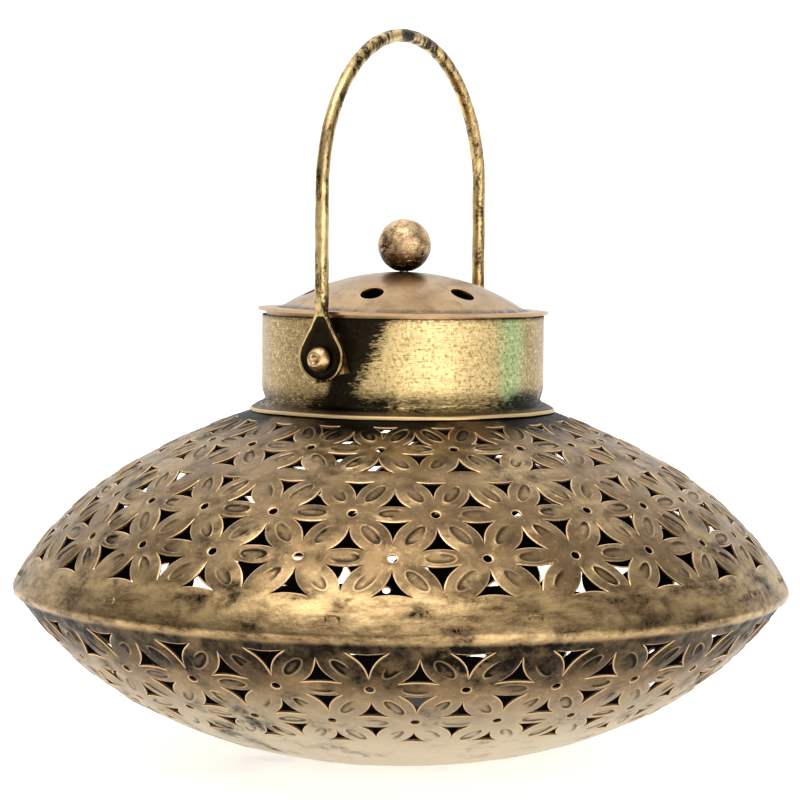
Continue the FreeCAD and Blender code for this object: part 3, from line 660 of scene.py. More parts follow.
def ring_of_wedges_tree():
    """Geometry nodes: repeats a wedge round the axis, welds it and raises the petals' rings."""
    tree = bpy.data.node_groups.new("ring_of_wedges", "GeometryNodeTree")
    face = tree.interface
    face.new_socket("Wedge", in_out="INPUT", socket_type="NodeSocketGeometry")
    for name, kind, value in (("Count", "NodeSocketInt", FLOWERS), ("Seed", "NodeSocketInt", 3),
                              ("Ring Height", "NodeSocketFloat", 0.3 * MM),
                              ("Edge Roll", "NodeSocketFloat", 0.22 * MM),
                              ("Wander", "NodeSocketFloat", 0.5 * MM),
                              ("Waviness", "NodeSocketFloat", 0.25 * MM)):
        face.new_socket(name, in_out="INPUT", socket_type=kind).default_value = value
    face.new_socket("Finish", in_out="INPUT", socket_type="NodeSocketMaterial")
    face.new_socket("Shell", in_out="OUTPUT", socket_type="NodeSocketGeometry")
    entry = tree.nodes.new("NodeGroupInput")
    given = {s.name: Link(tree, s) for s in entry.outputs if s.name}
    start = Link(tree)

    def mark(name):
        return start.node("GeometryNodeInputNamedAttribute", {"data_type": "FLOAT"}, {"Name": name})

    index = start.node("GeometryNodeInputIndex")
    turn = index * (2 * math.pi) / given["Count"]
    points = start.node("GeometryNodePoints", None, {"Count": given["Count"]})
    axis = start.node("ShaderNodeCombineXYZ", None, {"Z": turn})
    spin = start.node("FunctionNodeEulerToRotation", None, {0: axis})
    copies = start.node("GeometryNodeInstanceOnPoints", None,
                        {"Points": points, "Instance": given["Wedge"], "Rotation": spin})
    numbered = start.node("GeometryNodeStoreNamedAttribute",
                          {"data_type": "FLOAT", "domain": "INSTANCE"},
                          {"Geometry": copies, "Name": "wedge", "Value": index * 1.0})
    real = start.node("GeometryNodeRealizeInstances", None, {"Geometry": numbered})
    welded = start.node("GeometryNodeMergeByDistance", None,
                        {"Geometry": real, "Distance": 0.02 * MM})

    # a petal shared by two wedges gets one number: its row, and its place round the axis
    petal = mark("petal")
    row = petal.math("FLOOR", petal / ROW_STEP)
    quarter = petal - row * ROW_STEP + mark("wedge") * 4.0
    place = quarter.math("MODULO", quarter, given["Count"] * 4.0)
    number = row * ROW_STEP + place

    def drawn(low, high, step):
        return start.node("FunctionNodeRandomValue", {"data_type": "FLOAT"},
                          {2: low, 3: high, "ID": number + step, "Seed": given["Seed"]}, output=1)

    reach = drawn(-0.15, 1.5, 0.0)
    facing = mark("bend") - drawn(0.0, 2 * math.pi, 4000.0)
    shown = (facing.math("COSINE", facing) + reach) * 1.6
    shown = shown.clamped() * drawn(0.6, 1.1, 8000.0)
    lift = (mark("crest") - mark("groove") * 0.45) * shown * given["Ring Height"]
    lift = lift - mark("edge") * given["Edge Roll"]
    spot = start.node("GeometryNodeInputPosition")
    waves = start.node("ShaderNodeTexNoise", None,
                       {"Vector": spot, "Scale": 55.0, "Detail": 2.0, "Roughness": 0.5})
    lift = lift + (waves - 1.0) * given["Waviness"]
    normal = start.node("GeometryNodeInputNormal")
    along_normal = start.node("ShaderNodeVectorMath", {"operation": "SCALE"},
                              {0: normal, "Scale": lift})
    drift = start.node("ShaderNodeTexNoise", None,
                       {"Vector": spot, "Scale": 95.0, "Detail": 1.0, "Roughness": 0.5}, output=1)
    centred = start.node("ShaderNodeVectorMath", {"operation": "SUBTRACT"},
                         {0: drift, 1: (0.5, 0.5, 0.5)})
    wander = start.node("ShaderNodeVectorMath", {"operation": "SCALE"},
                        {0: centred, "Scale": given["Wander"]})
    moved = start.node("GeometryNodeSetPosition", None, {"Geometry": welded, "Offset": along_normal})
    moved = start.node("GeometryNodeSetPosition", None, {"Geometry": moved, "Offset": wander})
    bright = start.node("GeometryNodeStoreNamedAttribute", {"data_type": "FLOAT", "domain": "POINT"},
                        {"Geometry": moved, "Name": "worn",
                         "Value": mark("edge") + mark("crest") * shown * 0.4})
    dark = start.node("GeometryNodeStoreNamedAttribute", {"data_type": "FLOAT", "domain": "POINT"},
                      {"Geometry": bright, "Name": "shade", "Value": mark("groove") * shown})
    painted = start.node("GeometryNodeSetMaterial", None,
                         {"Geometry": dark, "Material": given["Finish"]})
    leave = tree.nodes.new("NodeGroupOutput")
    tree.links.new(painted.socket, leave.inputs["Shell"])
    return tree


def run_tree(piece, tree, **values):
    """Run a geometry node tree on the piece and keep its result as the piece's mesh."""
    modifier = piece.modifiers.new(tree.name, "NODES")
    modifier.node_group = tree
    sockets = {item.name: item.identifier for item in tree.interface.items_tree
               if item.item_type == "SOCKET" and item.in_out == "INPUT"}
    for name, value in values.items():
        modifier[sockets[name.replace("_", " ")]] = value
    return settle(piece)


def weld(piece, *others):
    """Join the others into the piece, with one point where two meet."""
    form = bmesh.new()
    form.from_mesh(piece.data)
    for other in others:
        form.from_mesh(other.data)
        bpy.data.objects.remove(other)
    bmesh.ops.remove_doubles(form, verts=form.verts, dist=0.03 * MM)
    form.to_mesh(piece.data)
    form.free()


def even(start, end, parts):
    return [start + (end - start) * n / parts for n in range(1, parts + 1)]


# hole shapes: half base as a share of the pitch, base stand-off and tip stand-off
HOLE_OUTER = (0.205, 0.145, 0.27)
HOLE_INNER = (0.195, 0.165, 0.33)
HOLE_CROWN = (0.195, 0.165, 0.36)


def make_dome(tree, finish, inner_finish):
    shell = dome_outline()
    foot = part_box("neck_collar")[1].x
    span = BODY_RADIUS - foot

    def line(share):
        return foot + share * span

    nose_start = shell.arcs[3][0]
    radii = [line(share) for share in (0.935, 0.801, 0.628, 0.426)]
    nose_edge = shell.travel_to(radii[0])
    outer_rows = even(nose_edge, nose_start, 5) + even(nose_start, shell.length, 8)
    strips = [(HOLE_OUTER, HOLE_OUTER), (HOLE_INNER, HOLE_INNER), (HOLE_CROWN, HOLE_CROWN)]
    turn = math.radians(7.58 - 180 / FLOWERS)
    main = pierced_wedge("upper_shell", shell, radii, (1, 2), turn, FLOWERS, strips,
                         (12, NECK_FLOWERS), (outer_rows, None))
    grid = 2 * math.pi / (FLOWERS * NECK_FLOWERS)
    neck_turn = math.radians(15.45 - 180 / NECK_FLOWERS)
    neck_turn = turn + (math.floor((neck_turn - turn) / grid) + 0.5) * grid
    neck_radii = [line(share) for share in (0.426, 0.235, 0.02)]
    inner_rows = even(shell.travel_to(neck_radii[2]), 0.0, 4)
    neck = pierced_wedge("neck_band", shell, neck_radii, (1,), neck_turn, NECK_FLOWERS,
                         [(HOLE_CROWN, HOLE_CROWN), (HOLE_CROWN, HOLE_CROWN)],
                         (FLOWERS, 8), (None, inner_rows))
    run_tree(main, tree, Count=FLOWERS, Finish=finish)
    run_tree(neck, tree, Count=NECK_FLOWERS, Seed=11, Finish=finish)
    weld(main, neck)
    dress(main, finish, inner_finish)
    smooth_over(thicken(main, WALL), 58.0)
    fit(main, "lantern_body", "antique_shell", "upper_dome")
    return main


def make_bowl(tree, finish, inner_finish):
    shell = bowl_outline()
    span = LIP_RADIUS - BASE_RADIUS
    radii = [BASE_RADIUS + share * span for share in (0.988, 0.862, 0.719, 0.556)]
    outer_rows = even(shell.travel_to(radii[0]), shell.length, 2)
    inner_rows = even(shell.travel_to(radii[3]), 0.0, 14)
    strips = [(HOLE_OUTER, HOLE_OUTER), (HOLE_INNER, HOLE_INNER), (HOLE_CROWN, HOLE_CROWN)]
    bowl = pierced_wedge("lower_shell", shell, radii, (1, 2),
                         math.radians(4.38 - 180 / FLOWERS), FLOWERS, strips, (10, 8),
                         (outer_rows, inner_rows))
    run_tree(bowl, tree, Count=FLOWERS, Seed=7, Finish=finish)
    form = bmesh.new()
    form.from_mesh(bowl.data)
    loops = [edge for edge in form.edges if edge.is_boundary]
    lip = [e for e in loops if all(math.hypot(*v.co.xy) > LIP_RADIUS - 0.6 * MM for v in e.verts)]
    foot = [e for e in loops if all(math.hypot(*v.co.xy) < BASE_RADIUS + MM for v in e.verts)]
    risen = bmesh.ops.extrude_edge_only(form, edges=lip)["geom"]
    for vert in (item for item in risen if isinstance(item, bmesh.types.BMVert)):
        vert.co.z += LIP_HEIGHT
    step = bmesh.ops.extrude_edge_only(form, edges=foot)["geom"]
    inner_foot = [item for item in step if isinstance(item, bmesh.types.BMVert)]
    for vert in inner_foot:
        vert.co = (vert.co.x * 0.5, vert.co.y * 0.5, 0.0)
    edges = [item for item in step if isinstance(item, bmesh.types.BMEdge)]
    bmesh.ops.contextual_create(form, geom=edges)
    for face in form.faces:
        middle = face.calc_center_median()
        out = Vector((middle.x, middle.y, -0.1)) if middle.z > 0.002 else Vector((0, 0, -1))
        if face.normal.dot(out) < 0:
            face.normal_flip()
    form.to_mesh(bowl.data)
    form.free()
    dress(bowl, finish, inner_finish)
    smooth_over(thicken(bowl, WALL), 58.0)
    fit(bowl, "lantern_body", "antique_shell", "lower_bowl")
    return bowl


# --- turned pieces ----------------------------------------------------------------------------

def rounded(corners, closed, step):
    """Points along the corners (radius, height, rounding), long runs divided into steps."""
    points = []
    count = len(corners)
    for number, (radius, height, *bend) in enumerate(corners):
        here = Vector((radius, height))
        at_end = not closed and number in (0, count - 1)
        if not bend or at_end:
            points.append(here)
            continue
        before = Vector(corners[number - 1][:2])
        after = Vector(corners[(number + 1) % count][:2])
        first = here + (before - here).normalized() * bend[0]
        second = here + (after - here).normalized() * bend[0]
        for share in (0.0, 0.3, 0.7, 1.0):
            points.append(first * (1 - share) ** 2 + here * 2 * share * (1 - share)
                          + second * share ** 2)
    full = []
    for number, here in enumerate(points):
        full.append(here)
        if closed or number + 1 < len(points):
            after = points[(number + 1) % len(points)]
            parts = max(1, math.ceil((after - here).length / step))
            full += [here + (after - here) * n / parts for n in range(1, parts)]
    return full


def turned(name, corners, segments, closed=True, step=2.0):
    """Piece turned about Z from an outline in millimetres; an open outline ends on the axis."""
    outline = rounded(corners, closed, step)
    points = []
    for radius, height in outline:
        for number in range(segments):
            turn = 2 * math.pi * number / segments
            points.append((radius * MM * math.cos(turn), radius * MM * math.sin(turn), height * MM))
    faces = []
    rows = len(outline)
    for row in range(rows if closed else rows - 1):
        lower, upper = row * segments, (row + 1) % rows * segments
        for number in range(segments):
            after = (number + 1) % segments
            faces.append((lower + number, lower + after, upper + after, upper + number))
    piece = mesh_object(name, points, faces)
    form = bmesh.new()
    form.from_mesh(piece.data)
    bmesh.ops.remove_doubles(form, verts=form.verts, dist=0.002 * MM)
    bmesh.ops.recalc_face_normals(form, faces=form.faces)
    form.to_mesh(piece.data)
    form.free()
    return piece


def weather(piece, depth, size, seed, where=None):
    """Work the surface unevenly: move points in along their normals by up to depth."""
    normals = [vertex.normal.copy() for vertex in piece.data.vertices]
    for vertex, normal in zip(piece.data.vertices, normals):
        rough = noise.fractal(vertex.co / size + Vector((seed, 0, 0)), 0.9, 2.0, 3)
        share = where(vertex.co) if where else 1.0
        vertex.co -= normal * depth * share * min(1.0, max(0.0, 0.5 + 0.5 * rough))
    return piece


def place_mesh(piece, matrix):
    piece.data.transform(matrix)
    piece.data.update()
    return piece


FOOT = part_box("neck_collar")[0].z / MM
COLLAR_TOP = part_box("neck_collar")[1].z / MM
COLLAR_RADIUS = 45.5
FLANGE_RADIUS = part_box("neck_collar")[1].x / MM


def make_collar(finish):
    """Neck collar: upright wall, drawn-in waist and a flared foot with a slightly wavy edge."""
    wall = WALL / MM
    rise = 0.29
    collar = turned("neck_ring", [
        (COLLAR_RADIUS, COLLAR_TOP, 0.3),
        (COLLAR_RADIUS, FOOT + 7.3, 1.6),
        (COLLAR_RADIUS - 1.2, FOOT + 3.6, 0.9),
        (COLLAR_RADIUS + 1.6, FOOT + 2.3, 0.6),
        (FLANGE_RADIUS, FOOT + 0.9, 0.25),
        (FLANGE_RADIUS, FOOT + 0.02, 0.2),
        (FLANGE_RADIUS - wall, FOOT + rise),
        (COLLAR_RADIUS - 1.2 - wall, FOOT + 3.6),
        (COLLAR_RADIUS - wall, FOOT + 7.3),
        (COLLAR_RADIUS - wall, COLLAR_TOP, 0.3),
    ], 288, step=1.6)
    weather(collar, 0.16 * MM, 0.016, 3.0, lambda spot: 1.0 if spot.z > 0.114 else 0.3)
    for vertex in collar.data.vertices:
        out = (math.hypot(*vertex.co.xy) / MM - 46.6) / 2.6
        if out > 0:
            wave = noise.noise(vertex.co * 38.0 + Vector((7, 1, 0)))
            vertex.co.z += max(0.0, wave) * 0.7 * MM * min(1.0, out)
    dress(collar, finish)
    smooth_over(collar, 60.0)
    fit(collar, "lantern_body", "bright_brass", "neck_collar")


# --- lid, in its own frame: zero at the underside of the rim -----------------------------------

LID_RADIUS = 46.8
CROWN_FOOT = 39.7
LID_WALL = 0.9
CROWN_BEND = 71.67
LID_SEAT = COLLAR_TOP + 1.0
LID_APEX = LID_WALL + 12.0
VENT_RADIUS = 3.7
VENT_RING = 29.0
SCREW_HOLE = 1.7


def lid_seat_matrix():
    """The loose lid leans a little on the collar."""
    heading = math.radians(30.5)
    lean = Matrix.Rotation(math.radians(0.55), 4, Vector((math.cos(heading), math.sin(heading), 0)))
    return Matrix.Translation((0, 0, LID_SEAT * MM)) @ lean


def crown_height(radius):
    if radius > CROWN_FOOT:
        droop = max(0.0, radius - LID_RADIUS + 0.5)
        return LID_WALL - 0.35 * droop ** 2
    height = LID_APEX - CROWN_BEND + math.sqrt(CROWN_BEND ** 2 - radius ** 2)
    soft = max(0.0, 1.0 - (CROWN_FOOT - radius) / 1.6)
    return height + 0.22 * soft ** 2


def vented_wedge():
    """One sixth of the lid's outer face, with a smoke vent in its middle."""
    half = math.pi / 6
    radii = [SCREW_HOLE, 5.0, 9.0, 13.5, 18.0, 22.0, 25.5, 29.0, 32.5, 36.0, 38.3, 39.7, 40.6,
             43.0, 45.5, 46.4, LID_RADIUS]
    points, marks, lines = [], [], []

    def add(x, y, mark=0.0):
        points.append(Vector((x, y)))
        marks.append(mark)
        return len(points) - 1

    def arc(radius, parts):
        return [(radius * math.cos(turn), radius * math.sin(turn))
                for turn in (half * (2 * n / parts - 1) for n in range(1, parts))]

    near = [add(radius * math.cos(-half), radius * math.sin(-half)) for radius in radii]
    outer = [add(*spot) for spot in arc(LID_RADIUS, 40)]
    far = [add(radius * math.cos(half), radius * math.sin(half)) for radius in radii]
    inner = [add(*spot) for spot in arc(SCREW_HOLE, 4)]
    border = near + outer + far[::-1] + inner[::-1]
    lines += list(zip(border, border[1:] + border[:1]))
    edge = [points[n] for n in border]
    loops = []
    for radius, mark in ((VENT_RADIUS, 1.0), (VENT_RADIUS + 0.6, 0.0)):
        loop = [add(VENT_RING + radius * math.cos(turn), radius * math.sin(turn), mark)
                for turn in (2 * math.pi * n / 28 for n in range(28))]
        lines += list(zip(loop, loop[1:] + loop[:1]))
        loops.append([points[n] for n in loop])
    for radius in radii[1:-1]:
        parts = max(4, round(radius * 2 * half / 2.4)) if radius < 38 else 40
        for spot in arc(radius, parts):
            spot = Vector(spot)
            if (spot - Vector((VENT_RING, 0))).length > VENT_RADIUS + 1.4:
                add(*spot)
    spots, _, faces, sources, _, _ = geometry.delaunay_2d_cdt(points, lines, [], 0, 1e-4)
    solid = []
    for face in faces:
        middle = sum((spots[n] for n in face), Vector((0, 0))) / 3
        if abs(loop_area([spots[n] for n in face])) < SLIVER:
            continue
        if inside_loop(middle, edge) and not inside_loop(middle, loops[0]):
            solid.append(tuple(face))
    raised = [(spot.x * MM, spot.y * MM, crown_height(spot.length) * MM) for spot in spots]
    worn = [marks[source[0]] if source else 0.0 for source in sources]
    blank = [0.0] * len(spots)
    return mesh_object("lid_cover", raised, solid,
                       {"edge": worn, "crest": blank, "groove": blank, "bend": blank, "petal": blank})


def make_lid(tree, finish, inner_finish):
    lid = vented_wedge()
    run_tree(lid, tree, Count=6, Edge_Roll=0.25 * MM, Wander=0.1 * MM, Waviness=0.22 * MM,
             Ring_Height=0.0, Finish=finish)
    form = bmesh.new()
    form.from_mesh(lid.data)
    for face in form.faces:
        if face.normal.z < 0:
            face.normal_flip()
    form.to_mesh(lid.data)
    form.free()
    place_mesh(lid, Matrix.Rotation(math.radians(10.5), 4, "Z"))
    dress(lid, finish, inner_finish)
    smooth_over(thicken(lid, LID_WALL * MM), 60.0)
    place_mesh(lid, lid_seat_matrix())
    fit(lid, "lid", "copper_bronze", "lid_dome")


def make_knob(finish):
    """Cast ball, a little pitted, with a small flat where it stands on the lid."""
    radius = 8.65
    seat = 2.6
    centre = LID_APEX + 0.05 + math.sqrt(radius ** 2 - seat ** 2)
    start = math.asin(seat / radius)
    corners = [(0.0, LID_APEX + 0.05), (seat * 0.5, LID_APEX + 0.05)]
    parts = 60
    for number in range(parts + 1):
        turn = start + (math.pi - start) * number / parts
        corners.append((radius * math.sin(turn) if number < parts else 0.0,
                        centre - radius * math.cos(turn)))
    knob = turned("knob", corners, 96, closed=False)
    weather(knob, 0.22 * MM, 0.006, 5.0)

    def pits(spot):
        hollow = noise.noise(spot * 620.0 + Vector((3, 9, 2)))
        return max(0.0, hollow - 0.32) * 3.0 if spot.z > 0.014 else 0.0
    weather(knob, 0.5 * MM, 0.5, 1.0, pits)
    place_mesh(knob, lid_seat_matrix())
    dress(knob, finish)
    smooth_over(knob, 70.0)
    fit(knob, "lid", "worn_brass", "knob_ball")


# --- bail and pivots --------------------------------------------------------------------------

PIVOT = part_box("pivot_rivet_right")
PIVOT_HEIGHT = (PIVOT[0].z + PIVOT[1].z) / 2 / MM
BAIL_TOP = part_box("bail_handle")[1].z / MM - PIVOT_HEIGHT
ROD = 2.25
HALF_SPAN = 49.6
SPRING = BAIL_TOP - ROD - HALF_SPAN
PADDLE_RADIUS = 8.2
PADDLE_LIFT = 0.8
PADDLE_HALF = 0.7
PADDLE_TOP = 14.5
SHOULDER = (PADDLE_RADIUS * math.cos(math.radians(26)),
            PADDLE_LIFT + PADDLE_RADIUS * math.sin(math.radians(26)))


def paddle_width(height):
    """Half width of the forged end at a height above the pivot."""
    if height <= SHOULDER[1]:
        return math.sqrt(max(0.0, PADDLE_RADIUS ** 2 - (height - PADDLE_LIFT) ** 2))
    share = min(1.0, (height - SHOULDER[1]) / (PADDLE_TOP - SHOULDER[1]))
    return ROD + (SHOULDER[0] - ROD) * (1 - share) ** 1.25


def paddle_rim_distance(across, height):
    """Distance from a point of the forged end to its outline."""
    if height < SHOULDER[1]:
        return PADDLE_RADIUS - math.hypot(across, height - PADDLE_LIFT)
    return (paddle_width(height) - abs(across)) * 0.88


def soft_step(value, low, high):
    share = min(1.0, max(0.0, (value - low) / (high - low)))
    return share * share * (3 - 2 * share)


def bail_section(height, side):
    """Closed section of a leg at a height above the pivot: round rod above, forged end below."""
    flat = 1.0 - soft_step(height, 12.0, 19.0)
    width = max(0.35, paddle_width(height))
    points = []
    half = 18
    for number in range(2 * half):
        bend = math.pi * number / half
        across = math.cos(bend) * width
        round_out = math.sin(bend) * ROD
        edge = min(1.0, abs(math.sin(bend)) / 0.34) ** 0.6
        flat_out = math.copysign(PADDLE_HALF * edge, math.sin(bend))
        if number < half:
            inset = paddle_rim_distance(across, height)
            flat_out -= 0.62 * soft_step(inset, 0.75, 1.5) * (1 - soft_step(height, 11.0, 15.5))
        out = round_out * (1 - flat) + flat_out * flat
        points.append(Vector((side * (HALF_SPAN + out), across, PIVOT_HEIGHT + height)))
    return points


def make_bail(finish):
    """Bent rod whose ends are forged flat, with a raised edge round the outer face."""
    bottom = PADDLE_LIFT - PADDLE_RADIUS
    legs = [bottom + PADDLE_RADIUS * (1 - math.cos(math.pi / 2 * n / 16)) for n in range(1, 17)]
    legs += [PADDLE_LIFT + (PADDLE_TOP + 5 - PADDLE_LIFT) * n / 26 for n in range(1, 27)]
    legs += [PADDLE_TOP + 5 + (SPRING - PADDLE_TOP - 5) * n / 18 for n in range(1, 19)]
    sections = [bail_section(height, 1) for height in legs]
    arc_parts = 66
    for number in range(1, arc_parts):
        turn = math.pi * number / arc_parts
        out = Vector((math.cos(turn), 0, math.sin(turn)))
        middle = out * HALF_SPAN + Vector((0, 0, PIVOT_HEIGHT + SPRING))
        sections.append([middle + out * ROD * math.sin(2 * math.pi * k / 36)
                         + Vector((0, ROD * math.cos(2 * math.pi * k / 36), 0)) for k in range(36)])
    sections += [bail_section(height, -1) for height in reversed(legs)]
    points = [tuple(point * MM) for section in sections for point in section]
    size = len(sections[0])
    faces = [tuple(range(size)), tuple(range(len(points) - size, len(points)))]
    for row in range(len(sections) - 1):
        for number in range(size):
            after = (number + 1) % size
            faces.append((row * size + number, row * size + after,
                          (row + 1) * size + after, (row + 1) * size + number))
    bail = mesh_object("bail", points, faces)
    face_outwards(bail)
    weather(bail, 0.26 * MM, 0.007, 2.0,
            lambda spot: 1.0 if spot.z > 0.15 else 0.35)
    dress(bail, finish)
    smooth_over(bail, 65.0)
    fit(bail, "bail", "brass_rod", "bail_handle")


def make_rivet(side, name, finish):
    """Peened pivot pin: button head with a punched dimple, shank, and tail inside the collar."""
    base = 50.42
    tail = 41.6
    top = base + 3.4
    rivet = turned("rivet_" + name, [
        (0.0, tail), (2.7, tail, 0.4), (2.7, tail + 1.2), (1.6, tail + 1.2), (1.6, base),
        (4.0, base, 0.3), (3.95, base + 0.9, 0.5), (3.2, base + 2.5, 0.9), (2.1, top, 0.45),
        (1.35, top - 0.15, 0.3), (0.75, top - 1.0, 0.2), (0.0, top - 1.05),
    ], 48, closed=False, step=0.5)
    place_mesh(rivet, Matrix.Rotation(math.radians(90 * side), 4, "Y"))
    weather(rivet, 0.14 * MM, 0.003, 4.0 + side)
    place_mesh(rivet, Matrix.Translation((0, 0, PIVOT_HEIGHT * MM)))
    dress(rivet, finish)
    smooth_over(rivet, 65.0)
    fit(rivet, "lantern_body", "worn_brass", "pivot_rivet_" + name)


def make_spacer(side, name, finish):
    """Square of folded sheet between collar and bail end, crumpled at its corners."""
    low, high = 45.52 * MM, 48.78 * MM
    half = 6.3 * MM
    form = bmesh.new()
    bmesh.ops.create_cube(form, size=1.0)
    bmesh.ops.subdivide_edges(form, edges=form.edges, cuts=9, use_grid_fill=True)
    for vertex in form.verts:
        corner = (abs(vertex.co.x) * abs(vertex.co.y)) * 4
        spot = Vector((vertex.co.x * 2 * half, vertex.co.y * 2 * half,
                       (low + high) / 2 + vertex.co.z * (high - low)))
        crumple = noise.noise_vector(spot * 330.0 + Vector((side * 5, 0, 0)))
        spot += Vector((crumple.x, crumple.y, 0)) * 0.5 * MM * corner
        if vertex.co.z > 0.3:
            spot.z -= abs(crumple.z) * 1.0 * MM * corner
        vertex.co = spot
    spacer = mesh_object("spacer_" + name, [], [])
    form.to_mesh(spacer.data)
    form.free()
    place_mesh(spacer, Matrix.Translation((0, 0, PIVOT_HEIGHT * MM))
               @ Matrix.Rotation(math.radians(90 * side), 4, "Y")
               @ Matrix.Rotation(math.radians(18), 4, "Z"))
    dress(spacer, finish)
    smooth_over(spacer, 50.0)
    fit(spacer, "lantern_body", "worn_brass", "pivot_spacer_" + name)


# --- punch marks ------------------------------------------------------------------------------

def punch_marks_tree():
    """Geometry nodes: lays a punch mark at points round the nose, each turned a little differently."""
    tree = bpy.data.node_groups.new("punch_marks_round", "GeometryNodeTree")
    face = tree.interface
    face.new_socket("Mark", in_out="INPUT", socket_type="NodeSocketGeometry")
    for name, kind, value in (("Count", "NodeSocketInt", 9), ("Seed", "NodeSocketInt", 2),
                              ("Jitter", "NodeSocketFloat", 0.2)):
        face.new_socket(name, in_out="INPUT", socket_type=kind).default_value = value
    face.new_socket("Finish", in_out="INPUT", socket_type="NodeSocketMaterial")
    face.new_socket("Marks", in_out="OUTPUT", socket_type="NodeSocketGeometry")
    entry = tree.nodes.new("NodeGroupInput")
    given = {s.name: Link(tree, s) for s in entry.outputs if s.name}
    start = Link(tree)
    index = start.node("GeometryNodeInputIndex")
    jitter = start.node("FunctionNodeRandomValue", {"data_type": "FLOAT"},
                        {2: -1.0, 3: 1.0, "ID": index, "Seed": given["Seed"]}, output=1)
    turn = index * (2 * math.pi) / given["Count"] + jitter * given["Jitter"]
    points = start.node("GeometryNodePoints", None, {"Count": given["Count"]})
    axis = start.node("ShaderNodeCombineXYZ", None, {"Z": turn})
    spin = start.node("FunctionNodeEulerToRotation", None, {0: axis})
    copies = start.node("GeometryNodeInstanceOnPoints", None,
                        {"Points": points, "Instance": given["Mark"], "Rotation": spin})
    real = start.node("GeometryNodeRealizeInstances", None, {"Geometry": copies})
    painted = start.node("GeometryNodeSetMaterial", None,
                         {"Geometry": real, "Material": given["Finish"]})
    leave = tree.nodes.new("NodeGroupOutput")
    tree.links.new(painted.socket, leave.inputs["Marks"])
    return tree


def make_punch_marks(finish):
    """Half-struck crescents in the plain band above the nose."""
    shell = dome_outline()
    travel = shell.travel_to(122.6 * MM)
    around = shell.place(travel)[0]
    points = []
    parts = 14
    for number in range(parts + 1):
        bend = math.pi * (0.02 + 0.96 * number / parts)
        wide = 1.9 + 0.2 * math.sin(3 * bend)
        thick = 0.42 * math.sin(bend) ** 0.5 + 0.06
        for reach, lift in ((-thick, -0.1), (0.0, 0.26), (thick, -0.1)):
            along = travel - (wide + reach) * MM * math.sin(bend) * 1.15 + 1.2 * MM
            turn = (wide + reach) * MM * math.cos(bend) / around
            points.append(shell.point(along, turn) + shell.normal(along, turn) * lift * MM)
    faces = []
    for number in range(parts):
        base = 3 * number
        faces += [(base, base + 1, base + 4, base + 3), (base + 1, base + 2, base + 5, base + 4),
                  (base + 2, base, base + 3, base + 5)]
    faces += [(0, 2, 1), (3 * parts, 3 * parts + 1, 3 * parts + 2)]
    marks = mesh_object("punch_marks", points, faces)
    face_outwards(marks)
    run_tree(marks, punch_marks_tree(), Count=11, Finish=finish)
    dress(marks, finish)
    smooth_over(marks, 80.0)
    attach(marks, "lantern_body")


# --- finishes ---------------------------------------------------------------------------------

def split(place):
    """The X, Y and Z of a vector."""
    return [place.node("ShaderNodeSeparateXYZ", None, {0: place}, output=n) for n in range(3)]


def height_and_radius(place):
    x, y, z = split(place)
    return z, place.math("SQRT", x * x + y * y)


def mark_of(place, name):
    return place.node("ShaderNodeAttribute", {"attribute_name": name}, None, output=2)


def antique_gold():
    """Lacquered iron sheet, rubbed with gold: brown-gold, sooty in patches, bright on its edges."""
    material, shader, place = new_material("antique_gold")
    height, radius = height_and_radius(place)
    cloud = blotches(place, 0.034, 4.0, 0.62)
    mottle = blotches(place, 0.009, 5.0, 0.66)
    grain = blotches(place, 0.0016, 3.0, 0.7)
    smear = blotches(place, 0.014, 6.0, 0.72, (1.0, 1.0, 3.2))
    worn = mark_of(place, "worn")
    shade = mark_of(place, "shade")

    base = cloud.ramp(0.36, 0.66).mix((0.225, 0.148, 0.075), (0.40, 0.285, 0.152))
    base = (mottle.ramp(0.40, 0.68) * 0.8).mix(base, (0.145, 0.098, 0.054))
    base = (smear.ramp(0.50, 0.70) * 0.5).mix(base, (0.13, 0.085, 0.046))
    base = (grain.ramp(0.55, 0.72) * 0.35).mix(base, (0.62, 0.46, 0.27))
    # rubbed band above the nose, with brown and sooty smears in it
    band = height.ramp(0.0690, 0.0640) * height.ramp(0.0505, 0.0535)
    rubbed = smear.ramp(0.36, 0.60).mix((0.54, 0.385, 0.195), (0.25, 0.168, 0.085))
    base = (band * 0.85).mix(base, rubbed)
    base = (band * mottle.ramp(0.50, 0.64) * 0.5).mix(base, (0.17, 0.115, 0.062))
    darkening = smear.ramp(0.52, 0.68) * grain.ramp(0.34, 0.60) * band * 0.8
    # painted shade: a dark band under the nose, thinning out down the bowl
    under = height.ramp(0.0524, 0.0508) * height.ramp(0.0330, 0.0475)
    darkening = darkening + under * (mottle.ramp(0.30, 0.62) * 0.45 + 0.52)
    # smoke round the neck
    neck = radius.ramp(0.070, 0.050) * height.ramp(0.085, 0.095)
    darkening = darkening + neck * (cloud.ramp(0.36, 0.54) * 0.8 + 0.32)
    darkening = darkening + cloud.ramp(0.50, 0.68) * mottle.ramp(0.42, 0.60) * 0.65
    darkening = darkening + mottle.ramp(0.54, 0.68) * grain.ramp(0.40, 0.62) * 0.5
    darkening = (darkening + shade * 0.85).clamped() * (1.0 - worn * 0.8)
    # painted reflection of the pale floor: greyer, paler lower down the bowl
    painted_floor_reflection = height.ramp(0.040, 0.012)
    base = (painted_floor_reflection * 0.8).mix(base, (0.70, 0.62, 0.47))
    base = darkening.mix(base, (0.013, 0.010, 0.007))
    base = (worn.clamped() * 0.85).mix(base, (0.84, 0.58, 0.33))
    rough = mottle.between(0.30, 0.46) + darkening * 0.16
    bump = raise_grain(place, grain * 0.5 + mottle * 1.2 + smear * 0.5, 0.00022, 0.75)
    plug(shader, base_color=base, metallic=1.0, roughness=rough, normal=bump)
    return material


